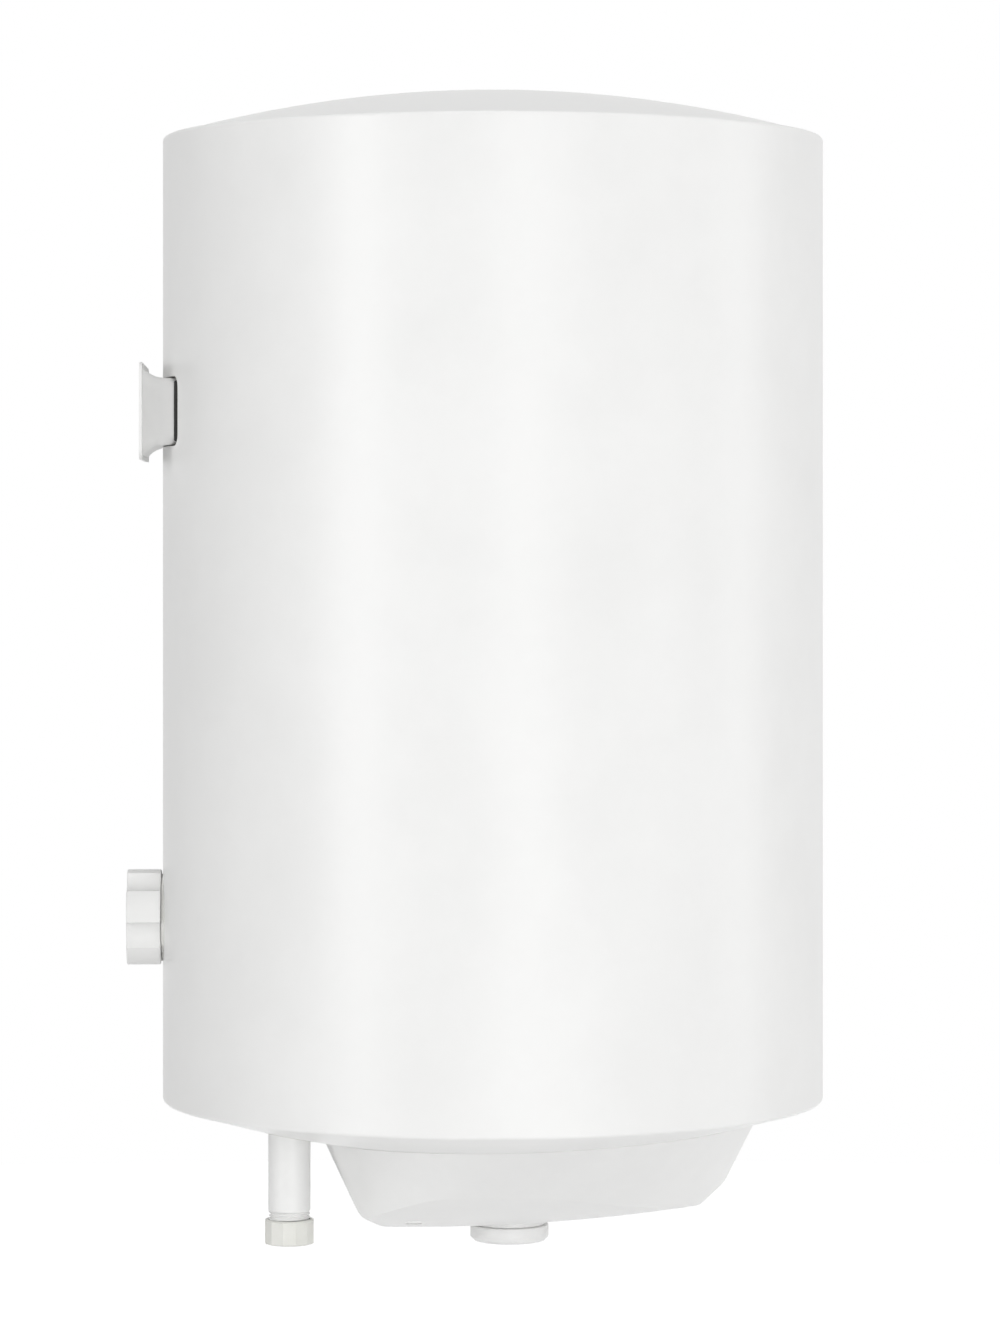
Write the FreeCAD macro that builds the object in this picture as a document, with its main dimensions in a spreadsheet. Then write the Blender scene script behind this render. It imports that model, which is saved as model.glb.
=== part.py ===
import FreeCAD, Part
import math
import os
import re

import Sketcher

# A wall-hung electric storage water heater of about 30 litres, in millimetres.
# +Z is up, +Y points at the wall and -Y is the front. The origin is the middle of the two
# keyholes, on the face of the wall bracket that meets the wall.

doc = FreeCAD.newDocument("wall_water_heater")

# ---------------------------------------------------------------- driving dimensions
SIZES = [
    # casing and its two ends
    ("casing_radius", 170.0, "outer radius of the painted steel casing"),
    ("casing_height", 494.4, "casing from its lower rim to its upper rim"),
    ("casing_wall", 0.8, "sheet thickness of the casing and its end caps"),
    ("rim_curl", 2.0, "radius that the casing's two rims are rolled in to"),
    ("dome_rise", 23.2, "height of the top cap above the casing's rim"),
    ("dish_depth", 25.5, "depth of the bottom cap below the casing's rim"),
    ("cap_recess", 0.5, "how far inside the rim the dome and the dish start"),
    ("cap_skirt", 12.0, "length of each cap's skirt inside the casing"),
    ("service_radius", 54.0, "radius of the service hole in the bottom cap"),
    # wall bracket
    ("bracket_height", 353.0, "bracket centre above the casing's lower rim"),
    ("stand_off", 10.5, "bracket's wall face behind the casing"),
    ("plate_width", 118.0, "keyhole plate, left to right"),
    ("plate_height", 49.0, "keyhole plate, bottom to top"),
    ("plate_thickness", 1.5, "keyhole plate thickness"),
    ("plate_corner", 7.0, "corner radius of the keyhole plate"),
    ("trunk_width", 92.0, "bracket trunk, left to right"),
    ("trunk_height", 34.0, "bracket trunk, bottom to top"),
    ("trunk_corner", 6.0, "corner radius of the bracket trunk"),
    ("trunk_wall", 2.0, "sheet thickness of the bracket trunk"),
    ("flare_radius", 14.0, "radius of the arc that flares the trunk out to the plate"),
    ("flare_depth", 10.8, "length of that flare"),
    ("cutout_side", 8.0, "gap between the trunk and the casing's cut-out, left and right"),
    ("cutout_gap", 0.6, "gap between the trunk and the cut-out, above and below"),
    ("keyhole_spacing", 70.0, "distance between the two keyholes"),
    ("keyhole_radius", 9.0, "round end of a keyhole, which an anchor's head enters"),
    ("notch_radius", 5.25, "half the width of a keyhole's notch"),
    ("notch_rise", 9.0, "top of the notch above the round end, centre to centre"),
    ("saddle_thickness", 2.5, "steel saddle between bracket and tank"),
    ("saddle_width", 130.0, "saddle, left to right"),
    ("saddle_height", 64.0, "saddle, bottom to top"),
    # wall spacer
    ("spacer_height", 93.6, "spacer centre above the casing's lower rim"),
    ("spacer_radius", 24.65, "outer radius of the scalloped spacer"),
    ("scallop_radius", 9.7, "radius of a finger scallop in the spacer"),
    ("scallop_depth", 4.1, "depth of a scallop"),
    ("spacer_round", 0.8, "rounding of the spacer's edges"),
    ("spacer_depth", 17.5, "spacer, front to back"),
    ("spacer_gap", 0.7, "gap between the spacer, screwed right in, and the casing"),
    ("stem_radius", 6.0, "radius of the spacer's stem"),
    ("stem_clearance", 3.5, "inner end of the stem to the tank"),
    ("stem_cover", 4.0, "plastic behind the stem's outer end"),
    ("nut_radius", 11.0, "outer radius of the nut that holds the stem"),
    ("nut_length", 17.0, "length of that nut"),
    ("running_gap", 0.05, "radial gap of a shaft that turns in its bearing"),
    ("slide_gap", 0.3, "radial gap of a piece that slides"),
    # tank
    ("foam_side", 25.0, "outer face of the casing to the outer face of the tank"),
    ("foam_top", 37.8, "foam between the top of the tank and the dome"),
    ("tank_wall", 1.8, "sheet thickness of the tank"),
    ("tank_bottom", 4.0, "lowest point of the tank above the casing's lower rim"),
    ("head_rise", 45.0, "rise of each dished tank head"),
    # flange at the bottom of the tank
    ("neck_radius", 31.0, "radius of the opening in the flange collar"),
    ("flange_radius", 50.0, "outer radius of the collar and the heater flange"),
    ("collar_bottom", -8.0, "face of the collar, from the casing's lower rim"),
    ("collar_height", 20.0, "height of the collar"),
    ("gasket_thickness", 2.5, "thickness of the flange gasket"),
    ("gasket_radius", 38.5, "outer radius of the flange gasket"),
    ("flange_thickness", 4.0, "thickness of the heater flange"),
    ("stud_circle", 43.0, "radius of the circle of flange studs"),
    ("stud_radius", 3.0, "radius of a flange stud"),
    ("stud_seat", 8.0, "length of a stud inside the collar"),
    ("stud_tail", 2.5, "length of a stud below its nut"),
    ("stud_nut_size", 10.0, "flange nut across its flats"),
    ("stud_nut_height", 5.0, "height of a flange nut"),
    # heating element, thermostat pocket and anode
    ("element_radius", 4.0, "radius of the heating element's tube"),
    ("element_spread", 16.0, "half the distance between the element's legs"),
    ("element_y", 20.0, "element's legs behind the tank's axis"),
    ("element_height", 250.0, "top of the element's straight legs"),
    ("element_tail", 4.0, "length of the element's sheath below the flange"),
    ("terminal_radius", 2.0, "radius of an element terminal"),
    ("terminal_length", 6.5, "length of a terminal below the sheath"),
    ("pocket_radius", 5.5, "outer radius of the thermostat pocket"),
    ("pocket_wall", 1.0, "wall of the thermostat pocket"),
    ("pocket_y", 4.0, "pocket behind the tank's axis"),
    ("pocket_height", 210.0, "top of the pocket"),
    ("anode_radius", 9.5, "radius of the magnesium rod"),
    ("anode_y", -20.0, "rod in front of the tank's axis"),
    ("anode_bottom", 6.0, "lower end of the rod"),
    ("anode_length", 190.0, "length of the rod"),
    ("anode_stud_radius", 2.5, "radius of the rod's stud"),
    ("anode_nut_size", 8.0, "rod's nut across its flats"),
    ("anode_nut_height", 4.0, "height of the rod's nut"),
    # water pipes
    ("pipe_spread", 50.0, "half the distance between the two pipes"),
    ("pipe_y", 105.0, "pipes behind the tank's axis"),
    ("pipe_radius", 10.65, "outer radius of a half-inch steel pipe"),
    ("pipe_bore", 8.0, "inner radius of the pipe"),
    ("thread_radius", 10.48, "radius over the pipe's thread"),
    ("thread_length", 14.0, "length of the pipe's thread"),
    ("pipe_bottom", -64.0, "lower end of the pipes, from the casing's lower rim"),
    ("pipe_top", 52.0, "upper end of the pipes, inside the tank"),
    ("seal_radius", 12.5, "outer radius of the seal round a pipe"),
    ("seal_height", 14.0, "height of that seal before its lower end is shaped to the cap"),
    ("seal_proud", 0.4, "seal standing out of the bottom cap"),
    ("riser_wall", 1.2, "wall of the hot riser"),
    ("riser_lap", 10.0, "length of the riser pushed over the hot pipe"),
    ("riser_drop", 49.0, "upper end of the riser below the top of the tank"),
    ("diffuser_radius", 14.0, "outer radius of the cold inlet's diffuser"),
    ("diffuser_wall", 1.5, "wall of the diffuser"),
    ("diffuser_height", 22.0, "height of the diffuser"),
    ("diffuser_lap", 7.3, "length of the diffuser pushed over the cold pipe"),
    ("thread_cap_radius", 12.7, "thread cap over its corners"),
    ("thread_cap_height", 12.4, "height of the thread cap"),
    ("thread_cap_floor", 2.6, "floor of the thread cap"),
    # bottom cover
    ("cover_wall", 2.2, "wall of the plastic cover"),
    ("cover_gap", 0.8, "gap between the cover's upper edge and the bottom cap"),
    ("cover_top", -8.0, "height at which the cover's top outline is given"),
    ("cover_top_rear", 92.4, "top outline, rear edge"),
    ("cover_top_front", 136.8, "top outline, front edge"),
    ("cover_top_half", 123.0, "top outline, half its width"),
    ("cover_top_corner", 110.0, "top outline, rear corner radius"),
    ("cover_top_belly", -20.0, "top outline, where the sides end and the round front starts"),
    ("cover_edge", -50.4, "height of the cover's edge beside the tank's axis"),
    ("cover_edge_slope", -0.06, "how much lower the edge is for each millimetre further back"),
    ("cover_edge_rear", 71.5, "edge outline, rear edge"),
    ("cover_edge_front", 120.0, "edge outline, front edge"),
    ("cover_edge_half", 71.0, "edge outline, half its width"),
    ("cover_edge_corner", 30.0, "edge outline, rear corner radius"),
    ("cover_edge_belly", -10.0, "edge outline, where the round front starts"),
    ("cover_bottom", -70.0, "height at which the walls' lowest outline is given"),
    ("cover_bottom_rear", 44.7, "lowest outline, rear edge"),
    ("cover_bottom_front", 90.0, "lowest outline, front edge"),
    ("cover_bottom_half", 45.0, "lowest outline, half its width"),
    ("cover_bottom_corner", 24.0, "lowest outline, rear corner radius"),
    ("cover_bottom_belly", -10.0, "lowest outline, where the round front starts"),
    ("cover_bend", 0.12, "share of the walls taken up by the rounding of the cover's edge"),
    ("crown_low", -65.0, "lowest point of the cover's crowned bottom"),
    ("crown_middle", 36.0, "lowest point of the crown behind the tank's axis"),
    ("crown_long", 980.0, "radius of the crown from front to back"),
    ("crown_cross", 158.0, "radius of the crown from left to right"),
    ("post_radius", 4.0, "radius of a cover post"),
    ("post_gap", 0.4, "gap between a post and the cover"),
    ("boss_radius", 7.0, "radius of the boss round a cover screw"),
    ("boss_floor", 3.0, "thickness of that boss over the screw's head"),
    ("rear_post_x", 46.0, "two rear posts to the side of the axis"),
    ("rear_post_y", 42.0, "two rear posts behind the axis"),
    ("front_post_y", 84.0, "front post in front of the axis"),
    ("screw_radius", 1.9, "radius of a cover screw"),
    ("screw_head", 3.8, "radius of a cover screw's head"),
    ("screw_head_height", 1.6, "height of a cover screw's head"),
    ("screw_sink", 1.5, "how deep a cover screw's head lies in the cover"),
    ("screw_length", 12.0, "length of a cover screw under its head"),
    # thermostat and controls
    ("control_y", 8.5, "knob and spindle in front of the tank's axis"),
    ("control_width", 46.0, "thermostat body, left to right"),
    ("control_depth", 36.0, "thermostat body, front to back"),
    ("control_top", -20.5, "top of the thermostat body"),
    ("control_height", 25.5, "height of the thermostat body"),
    ("control_round", 3.0, "rounding of the thermostat body's upright edges"),
    ("probe_radius", 4.0, "radius of the thermostat's probe"),
    ("probe_top", 190.0, "upper end of the probe"),
    ("spindle_radius", 3.0, "radius of the spindle"),
    ("spindle_seat", 12.0, "length of the spindle inside the thermostat body"),
    ("spindle_hole", 5.0, "radius of the cover's hole round the spindle"),
    ("knob_radius", 20.25, "outer radius of the knob"),
    ("knob_height", 8.2, "height of the knob"),
    ("knob_gap", 0.3, "gap between the knob and the level of the crown's lowest point"),
    ("knob_chamfer", 1.8, "chamfer round the knob's lower face"),
    ("knob_hub", 7.0, "radius of the knob's hub"),
    ("knob_wall", 2.0, "wall of the knob"),
    ("flute_radius", 1.6, "radius of a finger flute on the knob"),
    ("flute_depth", 0.6, "depth of a finger flute"),
    ("button_radius", 2.5, "radius of the reset button"),
    ("button_length", 7.0, "length of the reset button"),
    ("button_proud", 3.0, "reset button standing out of the thermostat body"),
    ("button_travel", 2.0, "travel of the reset button"),
    ("button_x", 14.0, "reset button to the side of the axis"),
    ("button_y", 20.0, "reset button in front of the axis"),
    ("block_width", 42.0, "terminal block, left to right"),
    ("block_depth", 12.5, "terminal block, front to back"),
    ("block_height", 15.0, "terminal block, bottom to top"),
    ("block_screw_radius", 2.2, "radius of a terminal screw"),
    ("block_screw_pitch", 12.0, "distance between terminal screws"),
    ("lead_bend", 7.5, "bend radius of an internal lead"),
    ("lead_radius", 1.2, "radius of an internal lead"),
    ("lamp_x", 34.0, "power lamp to the side of the axis"),
    ("lamp_radius", 4.5, "radius of the power lamp's body"),
    ("lamp_height", 12.0, "height of the power lamp's body"),
    ("lens_radius", 3.4, "radius of the lamp's lens"),
    ("grommet_y", 40.0, "cable grommet behind the tank's axis"),
    ("grommet_radius", 7.5, "radius of the grommet in the cover"),
    ("grommet_flange", 10.0, "radius of the grommet's inner flange"),
    ("grommet_bore", 4.5, "radius of the cable's way through the grommet"),
    ("grommet_height", 9.0, "height of the grommet"),
    ("earth_x", 64.0, "earth screw to the side of the axis"),
    ("earth_radius", 2.5, "radius of the earth screw"),
    ("earth_length", 9.0, "length of the earth screw below the bottom cap"),
]

sheet = doc.addObject("Spreadsheet::Sheet", "Sizes")
for row, (alias, number, note) in enumerate(SIZES, start=1):
    sheet.set(f"A{row}", note)
    sheet.set(f"B{row}", str(number))
    sheet.setAlias(f"B{row}", alias)
doc.recompute()

ALIASES = re.compile(r"\b(" + "|".join(alias for alias, _, _ in SIZES) + r")\b")


def formula(text):
    """Text with plain size names, as an expression that reads the sheet."""
    return ALIASES.sub(r"Sizes.\1", str(text))


def value(text):
    """What a formula comes to now, in millimetres."""
    return float(sheet.evalExpression(formula(text)))


# ---------------------------------------------------------------- derived places
AXIS_Y = "-(casing_radius + stand_off)"  # the tank's axis, seen from the bracket
RIM_Z = "-bracket_height"  # the casing's lower rim
INSIDE = "(casing_radius - casing_wall)"  # inner radius of the casing
CAP = "(casing_radius - rim_curl)"  # outer radius of both end caps
DOME_DEEP = "(dome_rise + cap_recess)"
DISH_DEEP = "(dish_depth + cap_recess)"
DOME = f"(({CAP}^2 + {DOME_DEEP}^2) / (2 * {DOME_DEEP}))"  # radius of the top cap's dome
DISH = f"(({CAP}^2 + {DISH_DEEP}^2) / (2 * {DISH_DEEP}))"  # radius of the bottom cap's dish
TANK = "(casing_radius - foam_side)"  # outer radius of the tank
HEAD = f"(({TANK}^2 + head_rise^2) / (2 * head_rise))"  # radius of a tank head's dish
SHELL_LOW = "(tank_bottom + head_rise)"
TANK_TOP = "(casing_height + dome_rise - casing_wall - foam_top)"
SHELL_HIGH = f"({TANK_TOP} - head_rise)"
GASKET_LOW = "(collar_bottom - gasket_thickness)"
FLANGE_LOW = f"({GASKET_LOW} - flange_thickness)"
CONTROL_LOW = "(control_top - control_height)"
PIPE_RADIAL = "sqrt(pipe_spread^2 + pipe_y^2)"  # pipes from the tank's axis
CAP_LOW = "(pipe_bottom - slide_gap - thread_cap_floor)"  # lowest face of the thread cap
KNOB_HIGH = "(crown_low - knob_gap)"
KNOB_LOW = f"({KNOB_HIGH} - knob_height)"
SPACER_FACE = "(casing_radius + spacer_gap)"  # spacer's inner face, from the tank's axis
SCREWS = [("rear_post_x", "rear_post_y"), ("-rear_post_x", "rear_post_y"), ("0", "-front_post_y")]
PIPES = [("-pipe_spread", "pipe_y"), ("pipe_spread", "pipe_y")]  # hot, then cold
STUDS = 6
SCALLOPS = 5
FLUTES = 24
FLARE_STEPS = 3
BEND_STEPS = 3

nodes = []


# ---------------------------------------------------------------- drawing helpers
def dish_height(radius, ball, lowest, side=1):
    """Formula for the height of a dished surface at a radius: side is 1 for a dish, -1 for a dome."""
    fall = f"(({ball}) - sqrt(({ball})^2 - ({radius})^2))"
    return f"({lowest} + {side} * {fall})"


def on_dish(radius):
    """Height of the bottom cap's outer face at a radius."""
    return dish_height(radius, DISH, "-dish_depth")


def on_head(radius):
    """Height of the lower tank head's outer face at a radius."""
    return dish_height(radius, HEAD, "tank_bottom")


def on_crown(x, y):
    """Height of the cover's crowned bottom beside the axis: a torus, curved more across than along."""
    cross = f"(crown_long - crown_cross + sqrt(crown_cross^2 - ({x})^2))"
    return f"(crown_low + crown_long - sqrt({cross}^2 - (({y}) - crown_middle)^2))"


LAMP_LOW = f"({on_crown('lamp_x + lamp_radius', '-control_y')} + cover_wall)"  # foot of the lamp


def bind(thing, **formulas):
    """Ties properties to formulas; a double underscore in a name stands for a dot."""
    for name, text in formulas.items():
        thing.setExpression(name.replace("__", "."), formula(text))


def place(thing, x="0", y=AXIS_Y, z=RIM_Z):
    """Puts a piece where the formulas say; without any, on the tank's axis at the lower rim."""
    bind(thing, Placement__Base__x=x, Placement__Base__y=y, Placement__Base__z=z)


def add_node(thing, label):
    """Marks an object as a finished piece with its own file."""
    thing.Label = label
    nodes.append(thing)
    return thing


def new_body(label):
    body = doc.addObject("PartDesign::Body", label)
    return add_node(body, label)


def sketch_on(body, plane, name):
    sketch = body.newObject("Sketcher::SketchObject", name)
    support = next(part for part in body.Origin.OriginFeatures if part.Role == plane)
    sketch.AttachmentSupport = (support, [""])
    sketch.MapMode = "FlatFace"
    return sketch


def hold_point(sketch, geometry, end, x, y):
    """Ties both coordinates of a sketch point to formulas."""
    for kind, text, axis in (("DistanceX", x, -2), ("DistanceY", y, -1)):
        number = value(text)
        if abs(number) < 1e-9:
            sketch.addConstraint(Sketcher.Constraint("PointOnObject", geometry, end, axis))
            continue
        index = sketch.addConstraint(Sketcher.Constraint(kind, -1, 1, geometry, end, number))
        sketch.setExpression(f"Constraints[{index}]", formula(text))


def hold_radius(sketch, geometry, text):
    index = sketch.addConstraint(Sketcher.Constraint("Radius", geometry, value(text)))
    sketch.setExpression(f"Constraints[{index}]", formula(text))


def arc_through(start, end, radius, turn):
    """The short arc from start to end: turn is 1 to the left, -1 to the right."""
    chord = end - start
    half = chord.Length / 2
    left = FreeCAD.Vector(-chord.y, chord.x, 0) / chord.Length
    sagitta = radius - math.sqrt(max(radius**2 - half**2, 0.0))
    middle = (start + end) / 2 - left * turn * sagitta
    return Part.Arc(start, middle, end)


def outline(sketch, points):
    """Draws a closed outline: (x, y) ends a line, (x, y, radius, turn) ends an arc."""
    ends = [FreeCAD.Vector(value(p[0]), value(p[1]), 0) for p in points]
    edges = []
    for i, point in enumerate(points):
        start, end = ends[i - 1], ends[i]
        if len(point) == 2:
            edge = Part.LineSegment(start, end)
        else:
            edge = arc_through(start, end, value(point[2]), point[3])
        geometry = sketch.addGeometry(edge, False)
        forward = sketch.getPoint(geometry, 1).isEqual(start, 1e-6)
        edges.append((geometry, 1, 2) if forward else (geometry, 2, 1))
        if len(point) > 2:
            hold_radius(sketch, geometry, point[2])
    for i, (geometry, first, last) in enumerate(edges):
        after, after_first, _ = edges[(i + 1) % len(edges)]
        sketch.addConstraint(Sketcher.Constraint("Coincident", geometry, last, after, after_first))
        hold_point(sketch, geometry, last, points[i][0], points[i][1])


def circle(sketch, radius, x="0", y="0"):
    centre = FreeCAD.Vector(value(x), value(y), 0)
    edge = Part.Circle(centre, FreeCAD.Vector(0, 0, 1), value(radius))
    geometry = sketch.addGeometry(edge, False)
    hold_point(sketch, geometry, 3, x, y)
    hold_radius(sketch, geometry, radius)


def rounded_rectangle(sketch, width, height, corner):
    """A rectangle about the sketch's origin with round corners."""
    w, h, r = f"({width}) / 2", f"({height}) / 2", f"({corner})"
    outline(
        sketch,
        [
            (f"{w} - {r}", f"-{h}"),
            (w, f"-{h} + {r}", r, 1),
            (w, f"{h} - {r}"),
            (f"{w} - {r}", h, r, 1),
            (f"-{w} + {r}", h),
            (f"-{w}", f"{h} - {r}", r, 1),
            (f"-{w}", f"-{h} + {r}"),
            (f"-{w} + {r}", f"-{h}", r, 1),
        ],
    )


def feature(body, kind, sketch, name, length=None, reverse=False):
    """Adds a sketch-based feature to a body and makes sure that it changed the volume."""
    before = body.Shape.Volume if not body.Shape.isNull() else 0.0
    made = body.newObject(f"PartDesign::{kind}", name)
    made.Profile = sketch
    if kind in ("Revolution", "Groove"):
        made.ReferenceAxis = (sketch, ["V_Axis"])
        made.Angle = 360
    else:
        bind(made, Length=length)
        made.Reversed = reverse
    doc.recompute()
    grew = body.Shape.Volume - before
    if abs(grew) < 1e-3 or (grew < 0) != (kind in ("Pocket", "Groove")):
        raise ValueError(f"{name} changed the volume by {grew:.3f}")
    return made


def repeat(body, source, count, plane="XY_Plane"):
    """Repeats a feature round the body's own axis, at right angles to a plane."""
    role = {"XY_Plane": "Z_Axis", "XZ_Plane": "Y_Axis"}[plane]
    axis = next(part for part in body.Origin.OriginFeatures if part.Role == role)
    pattern = body.newObject("PartDesign::PolarPattern", f"{source.Name}_pattern")
    pattern.Originals = [source]
    pattern.Axis = (axis, [""])
    pattern.Angle = 360
    pattern.Occurrences = count
    body.Tip = pattern
    doc.recompute()
    return pattern


def turned(label, points, x="0", y=AXIS_Y, z=RIM_Z):
    """A piece turned about its own upright axis, from an outline of (radius, height) points."""
    body = new_body(label)
    sketch = sketch_on(body, "XZ_Plane", f"{label}_profile")
    outline(sketch, points)
    feature(body, "Revolution", sketch, f"{label}_turn")
    place(body, x, y, z)
    return body


def tube_outline(inner, outer, low, high):
    return [(inner, low), (outer, low), (outer, high), (inner, high)]


def drill(body, radius, places, low, high, name):
    """Upright round holes through a body, from one height to another."""
    sketch = sketch_on(body, "XY_Plane", f"{name}_outline")
    for x, y in places:
        circle(sketch, radius, x, y)
    bind(sketch, AttachmentOffset__Base__z=low)
    return feature(body, "Pocket", sketch, name, f"({high}) - ({low})", reverse=True)


def ring_places(radius, count, start=0.0):
    """Formulas for points spaced evenly round the axis."""
    angles = [start + 360.0 * i / count for i in range(count)]
    return [(f"{radius} * cos({a})", f"{radius} * sin({a})") for a in angles]


def cylinder(radius, low, high, x="0", y="0"):
    """A plain upright cylinder from one height to another, beside the tank's axis."""
    rod = doc.addObject("Part::Cylinder", "rod")
    bind(rod, Radius=radius, Height=f"({high}) - ({low})")
    place(rod, x, f"{AXIS_Y} + {y}", f"{RIM_Z} + {low}")
    return rod


def hexagon(flats, low, height, x="0", y="0"):
    """A plain upright hexagon, sized across its flats."""
    prism = doc.addObject("Part::Prism", "hexagon")
    prism.Polygon = 6
    bind(prism, Circumradius=f"({flats}) / sqrt(3)", Height=height)
    place(prism, x, f"{AXIS_Y} + {y}", f"{RIM_Z} + {low}")
    return prism


def box(width, depth, height, x, y, z):
    """A plain box, from its lowest corner."""
    block = doc.addObject("Part::Box", "block")
    bind(block, Length=width, Width=depth, Height=height)
    place(block, x, f"{AXIS_Y} + {y}", f"{RIM_Z} + {z}")
    return block


def cut(base, tool):
    made = doc.addObject("Part::Cut", "cut")
    made.Base = base
    made.Tool = tool
    return made


def common(base, tool):
    made = doc.addObject("Part::Common", "common")
    made.Base = base
    made.Tool = tool
    return made


def fuse(*pieces):
    made = doc.addObject("Part::MultiFuse", "fuse")
    made.Shapes = list(pieces)
    return made


def group(label, pieces):
    """Like pieces that share one node, as separate solids."""
    made = doc.addObject("Part::Compound", label)
    made.Links = list(pieces)
    return add_node(made, label)


# ---------------------------------------------------------------- casing and its ends
def make_casing():
    """Rolled steel sheet with both rims curled in, cut out at the back for bracket and spacer."""
    r, t, c, h = "casing_radius", "casing_wall", "rim_curl", "casing_height"
    body = turned(
        "outer_casing",
        [
            (f"{r} - {c}", "0"),
            (r, c, c, 1),
            (r, f"{h} - {c}"),
            (f"{r} - {c}", h, c, 1),
            (f"{r} - {c}", f"{h} - {t}"),
            (f"{r} - {t}", f"{h} - {c}", f"{c} - {t}", -1),
            (f"{r} - {t}", c),
            (f"{r} - {c}", t, f"{c} - {t}", -1),
        ],
    )
    window = sketch_on(body, "XZ_Plane", "bracket_window_outline")
    rounded_rectangle(
        window,
        "trunk_width + 2 * cutout_side",
        "trunk_height + 2 * cutout_gap",
        "trunk_corner",
    )
    bind(window, AttachmentOffset__Base__y="bracket_height")
    feature(body, "Pocket", window, "bracket_window", "casing_radius + stand_off")
    hole = sketch_on(body, "XZ_Plane", "spacer_hole_outline")
    circle(hole, "stem_radius + 2 * slide_gap", "0", "spacer_height")
    feature(body, "Pocket", hole, "spacer_hole", "casing_radius + stand_off")


def make_end_caps():
    """Two pressed caps whose skirts stand inside the casing's curled rims."""
    t = "casing_wall"
    inner, dome, dish = f"({CAP} - {t})", f"({DOME} - {t})", f"({DISH} - {t})"
    apex = "(casing_height + dome_rise)"
    turned(
        "top_end_cap",
        [
            ("0", f"{apex} - {t}", dome, 1),
            ("0", apex),
            (CAP, "casing_height - cap_recess", DOME, -1),
            (CAP, "casing_height - rim_curl - cap_skirt"),
            (inner, "casing_height - rim_curl - cap_skirt"),
            (inner, dish_height(inner, dome, f"({apex} - {t})", -1)),
        ],
    )
    bottom = turned(
        "bottom_end_cap",
        [
            ("service_radius", on_dish("service_radius")),
            (CAP, "cap_recess", DISH, 1),
            (CAP, "rim_curl + cap_skirt"),
            (inner, "rim_curl + cap_skirt"),
            (inner, dish_height(inner, dish, f"({t} - dish_depth)")),
            ("service_radius", dish_height("service_radius", dish, f"({t} - dish_depth)"), dish, -1),
        ],
    )
    drill(bottom, "seal_radius", PIPES, "-dish_depth", "cap_skirt", "pipe_holes")


def make_insulation():
    """Rigid foam that fills the room between the tank and the end caps' skirts."""
    side = f"({CAP} - casing_wall)"
    dome, dish = f"({DOME} - casing_wall)", f"({DISH} - casing_wall)"
    apex, lowest = "(casing_height + dome_rise - casing_wall)", "(casing_wall - dish_depth)"
    foam = turned(
        "foam_insulation",
        [
            ("service_radius", on_head("service_radius"), HEAD, -1),
            ("service_radius", dish_height("service_radius", dish, lowest)),
            (side, dish_height(side, dish, lowest), dish, 1),
            (side, dish_height(side, dome, apex, -1)),
            ("0", apex, dome, 1),
            ("0", TANK_TOP),
            (TANK, SHELL_HIGH, HEAD, -1),
            (TANK, SHELL_LOW),
        ],
    )
    drill(foam, "seal_radius", PIPES, "-dish_depth", SHELL_LOW, "pipe_ways")
    pocket = sketch_on(foam, "XZ_Plane", "bracket_room_outline")
    gap = "2 * slide_gap"
    rounded_rectangle(pocket, f"saddle_width + {gap}", f"saddle_height + {gap}", "slide_gap")
    bind(pocket, AttachmentOffset__Base__y="bracket_height")
    feature(foam, "Pocket", pocket, "bracket_room", "casing_radius")
    pocket = sketch_on(foam, "XZ_Plane", "spacer_room_outline")
    circle(pocket, "nut_radius + slide_gap", "0", "spacer_height")
    feature(foam, "Pocket", pocket, "spacer_room", "casing_radius")


# ---------------------------------------------------------------- tank
def make_tank():
    """Enamelled steel tank: a rolled shell between two dished heads."""
    w = "tank_wall"
    ball = f"({HEAD} - {w})"
    rim = f"sqrt({ball}^2 - ({HEAD} - head_rise)^2)"  # inner radius of a head at the shell
    turned("tank_shell", tube_outline(f"{TANK} - {w}", TANK, SHELL_LOW, SHELL_HIGH))
    turned(
        "tank_upper_head",
        [
            ("0", f"{TANK_TOP} - {w}", ball, 1),
            ("0", TANK_TOP),
            (TANK, SHELL_HIGH, HEAD, -1),
            (rim, SHELL_HIGH),
        ],
    )
    lower = turned(
        "tank_lower_head",
        [
            ("flange_radius", on_head("flange_radius")),
            (TANK, SHELL_LOW, HEAD, 1),
            (rim, SHELL_LOW),
            ("flange_radius", dish_height("flange_radius", ball, f"(tank_bottom + {w})"), ball, -1),
        ],
    )
    drill(lower, "pipe_radius", PIPES, "tank_bottom", SHELL_LOW, "pipe_joints")


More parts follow.
